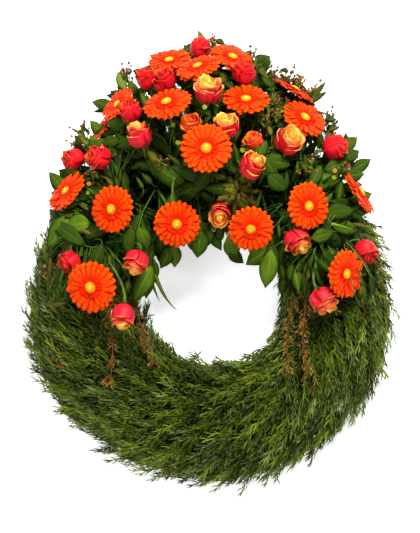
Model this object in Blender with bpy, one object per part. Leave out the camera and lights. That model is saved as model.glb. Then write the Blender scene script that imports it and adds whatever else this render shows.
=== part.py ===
"""Memorial wreath: a straw ring bound with conifer sprigs, and a spray of gerberas and roses on foam.

The wreath lies on its flat straw back. +Z is up, +Y points from the ring's middle to the spray, and the
origin lies on the ground under the middle of the whole piece. All sizes are in metres.
"""

import math
import random

import bmesh
import bpy
from mathutils import Matrix, Vector
from mathutils.kdtree import KDTree

# Driving dimensions
RING_RADIUS = 0.238
RING_CENTRE = Vector((-0.003, -0.070, 0.0))
STRAW_HALF_WIDTH = 0.050
STRAW_HEIGHT = 0.062
CONIFER_HALF_WIDTH = 0.088
CONIFER_HEIGHT = 0.112
CONIFER_FOOT = 0.008
SHELF_HEIGHT = 0.085
NEEDLE_REACH = 0.044
SEAT_GAP = 0.0003
JOINT_GAP = 0.0006

# The ring of conifer is bound in ten lengths, of which the first five carry the spray
SEGMENTS = 10
SPRAY_SEGMENTS = 5
COLUMNS = 6
SIDE_ROWS = 3
TOP_ROWS = 4
STRAW_STEPS = 32
STRAW_ROWS = 7

# Foam blocks on the conifer shelf and their leaf beds: first and last angle round the ring, and heights
FOAM_HALF_WIDTH = 0.047
FOAM_ENDS = {"right": (9.0, 52.0), "centre": (60.0, 120.0), "left": (128.0, 168.0)}
FOAM_HEIGHT = {"right": 0.034, "centre": 0.046, "left": 0.034}
BED_ENDS = {"right": (15.5, 52.0), "centre": (60.0, 120.0), "left": (128.0, 163.0)}
BED_HEIGHT = {"right": 0.026, "centre": 0.036, "left": 0.026}
BED_HALF_WIDTH = 0.045
PEG_RADIUS = 0.003
PEG_DEPTH = 0.024
PEG_CLEARANCE = 0.0005
HOLE_DEPTH = 0.027

# The flowers are set out as seen by someone looking down at the ring from its foot
VIEW_ELEVATION = math.radians(75.0)
VIEW_DISTANCE = 2.3
VIEW_AIM_UP = 0.056
VIEW_PLANE_HEIGHT = 0.05

GERBERA_PETALS = 14
GERBERA_SEAT = 0.0075
GERBERA_STEM = (0.0026, 0.0026, 0.0027, 0.0055)
ROSE_SIDES = 12
ROSE_LENGTH = 0.050
ROSE_RADIUS = 0.0225
ROSE_STEM = (0.0024, 0.0024, 0.0026, 0.0060)

# Gerberas: across and up in the view and height over the ground in cm, lean from the line of sight and
# its direction in degrees, anticlockwise from the right, head radius in mm, and the block that holds it
GERBERAS = (
    (-7.5, 44.6, 17.0, 52, 100, 43, "centre"),
    (-2.1, 43.5, 21.5, 55, 108, 43, "centre"),
    (4.4, 45.3, 17.8, 50, 66, 43, "centre"),
    (-8.0, 36.7, 25.5, 47, 107, 46, "centre"),
    (7.0, 37.2, 23.5, 47, 88, 45, "centre"),
    (18.1, 33.8, 19.5, 46, 57, 45, "centre"),
    (16.2, 39.2, 16.0, 76, 60, 44, "centre"),
    (-17.3, 36.3, 16.5, 58, 140, 40, "centre"),
    (-20.3, 31.9, 12.5, 72, 145, 40, "left"),
    (-27.0, 19.8, 15.0, 55, 139, 44, "left"),
    (-0.5, 28.0, 27.8, 15, 90, 47, "centre"),
    (-18.4, 16.5, 19.5, 23, 180, 44, "left"),
    (-6.1, 13.7, 19.5, 8, 270, 43, "centre"),
    (8.0, 12.8, 20.5, 16, 250, 42, "centre"),
    (18.8, 17.1, 20.8, 27, 0, 44, "right"),
    (28.7, 19.6, 14.0, 70, 33, 45, "right"),
    (25.9, 4.2, 18.0, 41, 355, 45, "right"),
    (-22.4, 1.7, 18.0, 15, 200, 47, "left"),
)

# Roses: the same, with the head's size against the usual one
ROSES = (
    (-12.0, 41.5, 20.0, 60, 112, 0.92, "centre"),
    (-8.4, 41.1, 22.0, 50, 110, 0.95, "centre"),
    (-1.7, 47.2, 16.4, 65, 85, 0.95, "centre"),
    (-0.1, 39.3, 24.8, 50, 90, 1.10, "centre"),
    (6.7, 42.8, 21.9, 60, 90, 1.00, "centre"),
    (-15.1, 35.2, 21.2, 60, 125, 0.92, "centre"),
    (-13.1, 30.8, 22.7, 65, 105, 1.05, "centre"),
    (-25.9, 26.0, 14.5, 60, 190, 0.90, "left"),
    (-21.1, 26.4, 17.5, 60, 165, 0.98, "left"),
    (3.3, 32.5, 25.7, 50, 100, 1.00, "centre"),
    (-3.4, 32.9, 24.5, 30, 110, 0.80, "centre"),
    (8.4, 24.9, 25.0, 45, 45, 1.05, "centre"),
    (8.4, 29.3, 23.5, 50, 120, 0.80, "centre"),
    (15.2, 29.6, 22.9, 40, 55, 1.08, "centre"),
    (24.1, 28.5, 16.5, 75, 15, 1.05, "right"),
    (2.2, 15.4, 18.0, 30, 260, 0.95, "centre"),
    (-13.9, 6.3, 18.5, 65, 250, 0.98, "left"),
    (-26.6, 6.3, 15.3, 60, 215, 0.90, "left"),
    (-16.3, -4.0, 16.5, 70, 265, 1.02, "left"),
    (16.9, 10.3, 18.3, 60, 300, 1.05, "right"),
    (30.0, 8.4, 14.7, 65, 300, 0.98, "right"),
    (21.9, -1.0, 16.5, 70, 300, 1.08, "right"),
)

# Each block's greens keep to their own angles round the ring
SECTORS = {"right": (-12.0, 55.0), "centre": (57.0, 123.0), "left": (125.0, 192.0)}

# Leaves stand on a stirred grid over the spray's egg-shaped outline, as seen, all in cm
LEAF_STEP = (5.9, 5.1)
LEAF_TRIES = 24
LEAF_HEART = (0.3, 17.0)
OUTLINE_MIDDLE = (0.3, 15.4)
OUTLINE_SIZE = (31.0, 33.5)
OUTLINE_POWER = 1.7
LEAF_BLADES = (0.065, 0.100)
LEAF_HALF_WIDTHS = (0.015, 0.023)
LEAF_HALF_THICKNESS = 0.0006
LEAF_STALK = 0.0013

# Leaves that hang out over the ring behind the spray: the angle round the ring in degrees, how far out
# from the ring's line and how high their tips are, and their half width
BACK_LEAVES = (
    (64.0, 0.165, 0.100, 0.018),
    (71.0, 0.183, 0.084, 0.020),
    (79.0, 0.172, 0.098, 0.018),
    (86.0, 0.192, 0.080, 0.021),
    (94.0, 0.178, 0.092, 0.019),
    (101.0, 0.190, 0.082, 0.020),
    (109.0, 0.174, 0.096, 0.018),
    (116.0, 0.165, 0.100, 0.018),
)
BACK_STALK_REACH = 0.096

# Narrow blades: where they leave the bed and where their tips are seen, with the tips' heights, in cm
BLADES = (
    (-9.8, 7.0, -9.4, -0.8, 8.5, "left"),
    (-8.6, 8.5, -5.8, -2.6, 9.0, "centre"),
    (-6.4, 24.5, -7.4, 17.0, 22.0, "centre"),
    (22.6, 14.0, 28.0, 12.6, 15.0, "right"),
)

# Brown seed sprays: the foam hole they stand in and, as seen in cm, the points their branches pass
SEED_SPRAYS = {
    "left": (165.5, (
        ((-17.5, 0.5), (-19.4, -4.0), (-18.0, -10.5), (-18.8, -16.0)),
        ((-17.5, 0.5), (-14.0, -2.5), (-12.2, -7.5), (-10.6, -12.5)),
    )),
    "right": (13.0, (
        ((18.5, 1.5), (15.8, -2.0), (14.6, -7.5), (15.2, -13.5)),
        ((18.5, 1.5), (18.2, -4.0), (17.6, -8.5), (18.8, -14.0)),
    )),
}
SEEDS_PER_BRANCH = 7
SEED_LENGTH = 0.013

COLOURS = {
    "straw": ((0.62, 0.47, 0.22), 0.9),
    "conifer": ((0.075, 0.135, 0.035), 0.7),
    "foam": ((0.10, 0.26, 0.12), 0.95),
    "greens": ((0.055, 0.13, 0.022), 0.45),
    "gerbera": ((0.93, 0.17, 0.01), 0.5),
    "rose": ((0.80, 0.05, 0.04), 0.45),
    "seeds": ((0.27, 0.12, 0.04), 0.8),
}


def material(name):
    """The Principled material of one finish, made once."""
    found = bpy.data.materials.get(name)
    if found:
        return found
    colour, roughness = COLOURS[name]
    made = bpy.data.materials.new(name)
    made.use_nodes = True
    shader = made.node_tree.nodes["Principled BSDF"]
    shader.inputs["Base Color"].default_value = (*colour, 1.0)
    shader.inputs["Roughness"].default_value = roughness
    shader.inputs["Metallic"].default_value = 0.0
    return made


def make_object(name, vertices, faces, finish):
    """A mesh object, with its faces turned outwards."""
    mesh = bpy.data.meshes.new(name)
    mesh.from_pydata([tuple(v) for v in vertices], [], faces)
    shell = bmesh.new()
    shell.from_mesh(mesh)
    bmesh.ops.recalc_face_normals(shell, faces=shell.faces[:])
    shell.to_mesh(mesh)
    shell.free()
    mesh.materials.append(material(finish))
    made = bpy.data.objects.new(name, mesh)
    bpy.context.scene.collection.objects.link(made)
    return made


def joined(base, pieces):
    """The base with every piece fused to it by one union."""
    group = bpy.data.collections.new(base.name + "_pieces")
    bpy.context.scene.collection.children.link(group)
    for piece in pieces:
        bpy.context.scene.collection.objects.unlink(piece)
        group.objects.link(piece)
    fuse(base, "UNION", group)
    for piece in pieces:
        bpy.data.objects.remove(piece)
    bpy.data.collections.remove(group)
    return base


def fuse(base, operation, group):
    """Applies one Boolean of the base with a collection."""
    boolean = base.modifiers.new(operation.lower(), "BOOLEAN")
    boolean.operation = operation
    boolean.operand_type = "COLLECTION"
    boolean.collection = group
    boolean.solver = "MANIFOLD"
    bpy.context.view_layer.update()
    graph = bpy.context.evaluated_depsgraph_get()
    result = bpy.data.meshes.new_from_object(base.evaluated_get(graph))
    base.modifiers.clear()
    base.data = result


def view_axes():
    """The view's right, up and towards-the-eye directions."""
    right = Vector((1.0, 0.0, 0.0))
    up = Vector((0.0, math.sin(VIEW_ELEVATION), math.cos(VIEW_ELEVATION)))
    return right, up, right.cross(up)


def seen(across, up, height):
    """The point at this height that is seen at these places in the view, all in cm."""
    right, rise, towards = view_axes()
    plane = RING_CENTRE + Vector((0.0, 0.0, VIEW_PLANE_HEIGHT))
    eye = plane + rise * VIEW_AIM_UP + towards * VIEW_DISTANCE
    spot = plane + right * across / 100 + rise * up / 100
    share = (height / 100 - eye.z) / (spot.z - eye.z)
    return eye + (spot - eye) * share


def facing(lean, direction):
    """The way a flower faces, from its lean off the line of sight and the lean's direction in view."""
    right, up, towards = view_axes()
    lean, direction = math.radians(lean), math.radians(direction)
    sideways = right * math.cos(direction) + up * math.sin(direction)
    return (towards * math.cos(lean) + sideways * math.sin(lean)).normalized()


def on_ring(angle, offset, height):
    """A point by its angle round the ring in degrees, its distance out from the ring's line and its height."""
    turn = math.radians(angle)
    radius = RING_RADIUS + offset
    return RING_CENTRE + Vector((radius * math.cos(turn), radius * math.sin(turn), height))


def round_ring(point):
    """The angle round the ring and the distance out from the ring's line of a point."""
    flat = point - RING_CENTRE
    return math.degrees(math.atan2(flat.y, flat.x)), math.hypot(flat.x, flat.y) - RING_RADIUS


def tube(points, radii, sides, end_way=None):
    """The vertices and faces of a closed tube through points, cut square to its end's way."""
    vertices, faces = [], []
    side = None
    for i, (point, radius) in enumerate(zip(points, radii)):
        ahead = (points[min(i + 1, len(points) - 1)] - points[max(i - 1, 0)]).normalized()
        ahead = end_way if end_way and i == len(points) - 1 else ahead
        side = ahead.orthogonal() if side is None else side
        side = (side - ahead * side.dot(ahead)).normalized()
        other = ahead.cross(side)
        for k in range(sides):
            turn = 2 * math.pi * k / sides
            vertices.append(point + (side * math.cos(turn) + other * math.sin(turn)) * radius)
    for i in range(len(points) - 1):
        for k in range(sides):
            a, b = i * sides + k, i * sides + (k + 1) % sides
            faces.append((a, b, b + sides, a + sides))
    faces.append(tuple(range(sides))[::-1])
    faces.append(tuple(range(len(vertices) - sides, len(vertices))))
    return vertices, faces


def bezier(a, b, c, d, steps):
    """Points along the cubic from a to d that b and c draw out."""
    for i in range(steps + 1):
        t = i / steps
        s = 1 - t
        yield a * s**3 + b * 3 * s * s * t + c * 3 * s * t * t + d * t**3


def arch(share, half_width, height, foot):
    """Offset and height of a point on a half ellipse, from its outer foot at 0 to its inner foot at 1."""
    turn = math.pi * share
    return half_width * math.cos(turn), foot + (height - foot) * math.sin(turn)


def straw_profile():
    """The straw's cross-section from its outer to its inner foot, with a narrow flat along its crown."""
    return [arch(i / STRAW_ROWS, STRAW_HALF_WIDTH, STRAW_HEIGHT, 0.0) for i in range(STRAW_ROWS + 1)]


def straw_ring():
    """The straw ring that everything is bound to, with a flat back."""
    profile = straw_profile()
    count = len(profile)
    vertices = [
        on_ring(360 * j / STRAW_STEPS, offset, height)
        for j in range(STRAW_STEPS) for offset, height in profile
    ]
    faces = []
    for j in range(STRAW_STEPS):
        a, b = j * count, (j + 1) % STRAW_STEPS * count
        faces += [(a + i, a + (i + 1) % count, b + (i + 1) % count, b + i) for i in range(count)]
    return make_object("straw_ring", vertices, faces, "straw")


def conifer_profile(shelf):
    """The outside of a conifer length from its outer to its inner foot, flat on top where it is a shelf."""
    edge = math.asin((SHELF_HEIGHT - CONIFER_FOOT) / (CONIFER_HEIGHT - CONIFER_FOOT)) / math.pi
    sides = [edge * i / SIDE_ROWS for i in range(SIDE_ROWS + 1)]
    tops = [0.5] if shelf else [edge + (1 - 2 * edge) * i / TOP_ROWS for i in range(1, TOP_ROWS)]
    shares = sides + tops + [1 - share for share in reversed(sides)]
    profile = [arch(share, CONIFER_HALF_WIDTH, CONIFER_HEIGHT, CONIFER_FOOT) for share in shares]
    return [(offset, min(height, SHELF_HEIGHT) if shelf else height) for offset, height in profile]


def conifer_lining():
    """The inside of a conifer length from its inner to its outer foot: it sits on the straw's crown."""
    crown, top = straw_profile()[STRAW_ROWS // 2]
    foot = (STRAW_HALF_WIDTH + 0.0035, CONIFER_FOOT)
    shoulder = (STRAW_HALF_WIDTH - 0.010, STRAW_HEIGHT - 0.012)
    side = [foot, shoulder, (crown + 0.003, top + SEAT_GAP)]
    return [(-offset, height) for offset, height in side] + side[::-1]


def needle_tip(corners, angle, rng):
    """Where the needle that stands on three corners ends: swept clockwise round the ring and outwards."""
    middle = (corners[0] + corners[1] + corners[2]) / 3
    turn = math.radians(angle)
    sweep = Vector((math.sin(turn), -math.cos(turn), 0.0))
    radial = Vector((math.cos(turn), math.sin(turn), 0.0))
    _, offset = round_ring(middle)
    rise = (middle.z - CONIFER_FOOT) / (CONIFER_HEIGHT - CONIFER_FOOT)
    outward = (radial * (offset / CONIFER_HALF_WIDTH) + Vector((0.0, 0.0, max(rise, 0.12)))).normalized()
    return middle + (sweep * 0.74 + outward * 0.62) * NEEDLE_REACH * rng.uniform(0.85, 1.1)


def conifer_segment(index):
    """One bound length of conifer: an arch over the straw whose outside is all swept needles."""
    rng = random.Random(index)
    shelf = index < SPRAY_SEGMENTS
    outside, lining = conifer_profile(shelf), conifer_lining()
    rows, loop = len(outside) - 1, len(outside) + len(lining)
    gap = math.degrees(JOINT_GAP / RING_RADIUS)
    first = 360.0 / SEGMENTS * index + gap
    step = (360.0 / SEGMENTS - 2 * gap) / COLUMNS
    vertices, faces = [], []
    for j in range(COLUMNS + 1):
        for i, (offset, height) in enumerate(outside):
            free = 0 < i < rows and 0 < j < COLUMNS and height != SHELF_HEIGHT
            stir = rng.uniform(-0.25, 0.25) if free else 0.0
            vertices.append(on_ring(first + step * (j + stir), offset, height))
        vertices += [on_ring(first + step * j, offset, height) for offset, height in lining]
    for j in range(COLUMNS):
        for i in range(loop):
            a, b = j * loop + i, j * loop + (i + 1) % loop
            if i >= rows:
                faces.append((a, b, b + loop, a + loop))
                continue
            for corners in ((a, b, b + loop), (a, b + loop, a + loop)):
                spots = [vertices[k] for k in corners]
                if shelf and min(spot.z for spot in spots) > SHELF_HEIGHT - 0.001:
                    faces.append(corners)
                    continue
                tip = len(vertices)
                vertices.append(needle_tip(spots, first + step * (j + 0.5), rng))
                faces.extend((corners[k], corners[(k + 1) % 3], tip) for k in range(3))
    faces.append(tuple(range(loop)))
    faces.append(tuple(range(COLUMNS * loop, (COLUMNS + 1) * loop)))
    return make_object(f"conifer_{index + 1:02d}", vertices, faces, "conifer")


def block_on_ring(name, start, end, profile, finish, steps):
    """A block that follows the ring, of one cross-section given as offsets and heights."""
    count = len(profile)
    vertices = [
        on_ring(start + (end - start) * j / steps, offset, height)
        for j in range(steps + 1) for offset, height in profile
    ]
    faces = [
        (j * count + i, j * count + (i + 1) % count, (j + 1) * count + (i + 1) % count, (j + 1) * count + i)
        for j in range(steps) for i in range(count)
    ]
    faces += [tuple(range(count)), tuple(range(steps * count, (steps + 1) * count))]
    return make_object(name, vertices, faces, finish)


def peg_places(start, end):
    """The angles at which three stems go down into a foam block."""
    return [start + (end - start) * share for share in (0.2, 0.5, 0.8)]


def foam_block(name):
    """Flower foam cut to follow the ring, with the plain holes of its stems."""
    start, end = FOAM_ENDS[name]
    low, high = SHELF_HEIGHT + SEAT_GAP, SHELF_HEIGHT + SEAT_GAP + FOAM_HEIGHT[name]
    bevel = 0.008
    profile = (
        (-FOAM_HALF_WIDTH, low), (-FOAM_HALF_WIDTH, high - bevel), (-FOAM_HALF_WIDTH + bevel, high),
        (FOAM_HALF_WIDTH - bevel, high), (FOAM_HALF_WIDTH, high - bevel), (FOAM_HALF_WIDTH, low),
    )
    foam = block_on_ring(f"foam_{name}", start, end, profile, "foam", 4)
    group = bpy.data.collections.new("holes")
    bpy.context.scene.collection.children.link(group)
    holes = peg_places(start, end)
    if name in SEED_SPRAYS:
        holes.append(SEED_SPRAYS[name][0])
    for angle in holes:
        points = [on_ring(angle, 0.0, high - HOLE_DEPTH), on_ring(angle, 0.0, high + 0.01)]
        radius = (PEG_RADIUS + PEG_CLEARANCE) * math.sqrt(2)
        hole = make_object("hole", *tube(points, [radius] * 2, 4), "foam")
        bpy.context.scene.collection.objects.unlink(hole)
        group.objects.link(hole)
    fuse(foam, "DIFFERENCE", group)
    for hole in list(group.objects):
        bpy.data.objects.remove(hole)
    bpy.data.collections.remove(group)
    return high


def bed(name, first, last, foot):
    """The low bed of short leaves on a foam block that its stems and leaves stand out of."""
    height = BED_HEIGHT[name]
    low = foot + SEAT_GAP
    half = BED_HALF_WIDTH
    profile = (
        (-half, low), (-half * 0.75, low + height * 0.75), (0.0, low + height),
        (half * 0.75, low + height * 0.75), (half, low),
    )
    base = block_on_ring(f"greens_{name}", first, last, profile, "greens", 4)
    pegs = []
    for angle in peg_places(*FOAM_ENDS[name]):
        points = [on_ring(angle, 0.0, low - PEG_DEPTH), on_ring(angle, 0.0, low + height * 0.4)]
        pegs.append(make_object("peg", *tube(points, [PEG_RADIUS] * 2, 4), "greens"))
    return base, pegs


def head_matrix(place, way, roll):
    """Stands a head up along the way it faces, at its place."""
    return Matrix.Translation(place) @ way.to_track_quat("Z", "Y").to_matrix().to_4x4() @ Matrix.Rotation(
        roll, 4, "Z"
    )


def gerbera_head(name, matrix, radius):
    """Blunt petals round a raised disc, thin at their edges."""
    count, disc = GERBERA_PETALS, GERBERA_PETALS // 2
    vertices, faces = [Vector((0.0, 0.0, 0.006))], []

    def ring(number, distance, height, shift=0.0):
        first = len(vertices)
        for k in range(number):
            turn = 2 * math.pi * (k + shift) / number
            vertices.append(Vector((distance * math.cos(turn), distance * math.sin(turn), height)))
        return first

    crown = ring(disc, radius * 0.20, 0.0045)
    inner = ring(count, radius * 0.34, 0.0025)
    notches = ring(count, radius * 0.66, 0.0015)
    tips = []
    for k in range(count):
        for shoulder in (0.16, 0.84):
            turn = 2 * math.pi * (k + shoulder) / count
            spot = Vector((math.cos(turn), math.sin(turn), 0.0)) * radius
            vertices.append(spot + Vector((0.0, 0.0, 0.003 if k % 2 else 0.0005)))
            tips.append(len(vertices) - 1)
    seat = ring(count, 0.0065, -GERBERA_SEAT)
    for k in range(disc):
        a, b = crown + k, crown + (k + 1) % disc
        c, d, e = (inner + (2 * k + n) % count for n in range(3))
        faces += [(0, a, b), (a, c, d), (a, d, b), (b, d, e)]
    for k in range(count):
        a, b = inner + k, inner + (k + 1) % count
        left, right = notches + k, notches + (k + 1) % count
        c, d = tips[2 * k], tips[2 * k + 1]
        faces += [(a, left, c), (a, c, d), (a, d, b), (b, d, right)]
        a, b = seat + k, seat + (k + 1) % count
        faces += [(a, c, left), (a, d, c), (a, b, d), (b, right, d)]
    faces.append(tuple(range(seat, seat + count)))
    return make_object(name, [matrix @ v for v in vertices], faces, "gerbera")


def rose_head(name, matrix, size):
    """A half-open rose: four overlapping outer petals with lobed rims round a standing heart."""
    length, radius = ROSE_LENGTH * size, ROSE_RADIUS * size
    # Share of the length, share of the radius, height of the lobes and depth of the petals' overlap
    rings = (
        (0.00, 0.30, 0.00, 0.00), (0.20, 0.80, 0.00, 0.03), (0.50, 1.00, 0.00, 0.07),
        (0.78, 0.92, 0.00, 0.09), (0.95, 1.05, 0.07, 0.10), (0.76, 0.66, 0.00, 0.04),
        (0.97, 0.42, -0.06, 0.06),
    )
    vertices, faces = [], []
    for height, share, lobe, overlap in rings:
        for k in range(ROSE_SIDES):
            turn = 2 * math.pi * k / ROSE_SIDES
            lobes = (0.0, 1.0, 0.6)[k % 3]
            step = (1.0, 0.3, -1.0)[k % 3]
            reach = radius * (share + overlap * step)
            vertices.append(Vector((
                reach * math.cos(turn), reach * math.sin(turn), length * (height + lobe * (lobes - 0.5) - 0.5),
            )))
    vertices.append(Vector((0.0, 0.0, length * 0.32)))
    for i in range(len(rings) - 1):
        for k in range(ROSE_SIDES):
            a, b = i * ROSE_SIDES + k, i * ROSE_SIDES + (k + 1) % ROSE_SIDES
            faces.append((a, b, b + ROSE_SIDES, a + ROSE_SIDES))
    last = (len(rings) - 1) * ROSE_SIDES
    faces += [(last + k, last + (k + 1) % ROSE_SIDES, len(vertices) - 1) for k in range(ROSE_SIDES)]
    faces.append(tuple(range(ROSE_SIDES))[::-1])
    return make_object(name, [matrix @ v for v in vertices], faces, "rose")


def flower_stem(seat, way, block, feet, room, own, radii):
    """The first clear line of a stem from its block up to the seat of its head."""
    start, end, foot = feet[block]
    angle, offset = round_ring(seat)
    angle = angle + 360 if angle < -90 else angle
    for tries in range(120):
        swing = (0, 6, -6, 12, -12, 18, -18, 26, -26, 34)[tries % 10]
        lift = (0.35, 0.22, 0.5)[tries // 10 % 3]
        base = (0.0, -0.018, 0.018, 0.0)[tries // 30]
        low = min(max(angle + swing, start + 2), end - 2)
        root = on_ring(low, min(max(offset + base, -0.025), 0.025), foot + 0.010)
        reach = (seat - root).length
        leave = ((seat - root).normalized() + Vector((0.0, 0.0, 0.8))).normalized()
        bends = root + leave * reach * lift, seat - way * reach * lift
        probes = list(bezier(root, *bends, seat, 16))
        if all(room.clear_of_heads(p, 0.004, own) and room.clear_of_lines(p, 0.003, block) for p in probes):
            break
    room.lines += [(probe, 0.003, block) for probe in probes]
    return tube(list(bezier(root, *bends, seat, 3)), radii, 3, way)


def leaf(points, across, half_width):
    """A leaf on its stalk: an arched blade, thick along its rib and thin at its edges."""
    vertices, faces = [], []
    for i, point in enumerate(points[:-1]):
        share = (0.0, 0.0, 1.0, 0.84)[i]
        before = point - points[max(i - 1, 0)]
        ahead = ((points[i + 1] - point).normalized() + before.normalized()).normalized()
        side = (across - ahead * across.dot(ahead)).normalized()
        up = ahead.cross(side)
        half = max(LEAF_STALK, half_width * share)
        thick = LEAF_HALF_THICKNESS if share else LEAF_STALK
        droop = -0.18 * half if share else 0.0
        vertices += [
            point + side * half + up * droop, point + up * thick, point - side * half + up * droop,
            point - up * thick,
        ]
    vertices.append(points[-1])
    for i in range(len(points) - 2):
        for k in range(4):
            a, b = i * 4 + k, i * 4 + (k + 1) % 4
            faces += [(a, b, b + 4), (a, b + 4, a + 4)]
    last = (len(points) - 2) * 4
    faces += [(last + k, last + (k + 1) % 4, len(vertices) - 1) for k in range(4)]
    faces.append((3, 2, 1, 0))
    return make_object("leaf", vertices, faces, "greens")


def needle_top(angle, offset):
    """The height that the conifer's needles reach at a place, lower beside the shelf."""
    share = max(0.0, 1 - (offset / (CONIFER_HALF_WIDTH + 0.038)) ** 2)
    top = CONIFER_FOOT + (CONIFER_HEIGHT + 0.028) * math.sqrt(share)
    return min(top, SHELF_HEIGHT + 0.020) if 0 < angle < 170 else top


def over_conifer(across, up, clearance):
    """The point seen at a place that lies this far over the ring of needles."""
    point = seen(across, up, 14.0)
    for _ in range(3):
        point = seen(across, up, 100 * (needle_top(*round_ring(point)) + clearance))
    return point


class Room:
    """What a new stem or leaf has to stay clear of."""

    def __init__(self):
        self.discs, self.balls, self.lines = {}, {}, []

    def clear_of_heads(self, point, margin, own=None):
        """Whether a point lies clear of every head but its own."""
        for name, (centre, way, radius) in self.discs.items():
            gap = point - centre
            height = gap.dot(way)
            reach = (gap - way * height).length
            if name != own and -0.004 - margin < height < 0.008 + margin and reach < radius + margin:
                return False
            if name != own and -0.012 - margin < height < 0.0 and reach < 0.009 + margin:
                return False
        return not any(
            name != own and (point - centre).length < radius + margin
            for name, (centre, radius) in self.balls.items()
        )

    def clear(self, point, margin, block, foot):
        """Whether a point of a block's leaf lies clear of the heads, the conifer and the other blocks."""
        angle, offset = round_ring(point)
        angle = angle + 360 if angle < -90 else angle
        low, high = SECTORS[block]
        if not low < angle < high or point.z < 0.03:
            return False
        over_foam = abs(offset) < FOAM_HALF_WIDTH + 0.002 and 9 < angle < 168
        top = foot + 0.003 if over_foam else needle_top(angle, offset)
        if point.z < top or not self.clear_of_heads(point, margin):
            return False
        _, _, distance = self.others[block].find(point)
        return distance > margin + 0.004

    def clear_of_lines(self, point, margin, block):
        """Whether a point of a block's stem lies clear of the stems of the others."""
        return not any(
            other != block and (point - spot).length < radius + margin for spot, radius, other in self.lines
        )

    def settle_lines(self):
        """Sorts what each block's leaves must keep clear of for a quick look-up."""
        self.others = {}
        for block in SECTORS:
            spots = [spot for spot, _, other in self.lines if other != block]
            self.others[block] = KDTree(len(spots))
            for i, spot in enumerate(spots):
                self.others[block].insert(spot, i)
            self.others[block].balance()


def bed_root(point, block, feet):
    """The place on a block's bed that lies nearest below a point."""
    start, end, foot = feet[block]
    angle, offset = round_ring(point)
    angle = angle + 360 if angle < -90 else angle
    return on_ring(min(max(angle, start + 4), end - 4), min(max(offset, -0.026), 0.026), foot + 0.012)


def leaf_height(across, up):
    """The height of the blooms around a place in the view, in cm."""
    total = weights = 0.0
    for other, rise, height, *_ in GERBERAS + ROSES:
        weight = 1 / ((across - other) ** 2 + (up - rise) ** 2 + 4.0) ** 1.5
        total += weight * height
        weights += weight
    return total / weights


def inside_outline(across, up):
    """Whether a place in the view lies within the spray's outline."""
    x = abs(across - OUTLINE_MIDDLE[0]) / OUTLINE_SIZE[0]
    y = max(up - OUTLINE_MIDDLE[1], 0.0) / OUTLINE_SIZE[1]
    return x**OUTLINE_POWER + y**OUTLINE_POWER < 1.0


def grown_leaf(rng, across, up, feet, room):
    """A leaf whose tip is seen near a place, or nothing where it would touch something."""
    across += rng.uniform(-2.6, 2.6)
    up += rng.uniform(-2.4, 2.4)
    tip = seen(across, up, leaf_height(across, up) - rng.uniform(0.5, 7.5))
    lowest = over_conifer(across, up, rng.uniform(0.008, 0.020))
    tip = lowest if lowest.z > tip.z else tip
    right, rise, towards = view_axes()
    away = right * (across - LEAF_HEART[0]) + rise * (up - LEAF_HEART[1])
    away = Matrix.Rotation(math.radians(rng.uniform(-40, 40)), 3, towards) @ away.normalized()
    normal = (towards + away * rng.uniform(0.0, 0.8) + rise.cross(away) * rng.uniform(-0.4, 0.4)).normalized()
    out = (away - normal * away.dot(normal)).normalized()
    side = normal.cross(out)
    length = rng.uniform(*LEAF_BLADES)
    half = min(rng.uniform(*LEAF_HALF_WIDTHS), length * 0.24)
    begin = tip - out * length
    angle, offset = round_ring(tip)
    angle = angle + 360 if angle < -90 else angle
    if not inside_outline(across, up) or offset < -0.104:
        return None
    block = "right" if angle < 56 else "left" if angle > 124 else "centre"
    foot = feet[block][2]
    root = bed_root(begin + Vector((rng.uniform(-1, 1), rng.uniform(-1, 1), 0.0)) * 0.04, block, feet)
    stalk = begin - root
    if stalk.length < 0.012 or stalk.z < 0 or stalk.dot(out) < -0.3 * stalk.length:
        return None
    if abs(stalk.dot(side)) > 0.8 * stalk.length:
        return None
    bow = normal * length
    points = [root, begin, begin.lerp(tip, 0.36) + bow * 0.06, begin.lerp(tip, 0.72) + bow * 0.05, tip]
    probes = [root.lerp(begin, s / 12) for s in range(4, 13)]
    for i, share in ((1, 0.5), (2, 0.0), (2, 0.5), (3, 0.0), (3, 0.5), (3, 1.0)):
        width = (0.5, 1.0, 0.92, 0.84, 0.42, 0.0)[2 * i - 2 + round(2 * share) - 1]
        middle = points[i].lerp(points[i + 1], share)
        probes += [middle + side * half * width * across for across in (-1.0, -0.5, 0.0, 0.5, 1.0)]
    if not all(room.clear(probe, 0.0045, block, foot) for probe in probes):
        return None
    return block, leaf(points, side, half)


def back_leaf(angle, reach, height, half, foot):
    """The line and the crosswise direction of a leaf that hangs out behind the spray."""
    root = on_ring(angle, 0.024, foot + 0.012)
    begin = on_ring(angle, BACK_STALK_REACH, foot + 0.005)
    tip = on_ring(angle, reach, height)
    across = Vector((0.0, 0.0, 1.0)).cross(tip - begin).normalized()
    bow = (tip - begin).cross(across)
    points = [root, begin, begin.lerp(tip, 0.36) + bow * 0.10, begin.lerp(tip, 0.72) + bow * 0.09, tip]
    return points, across, half


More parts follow.
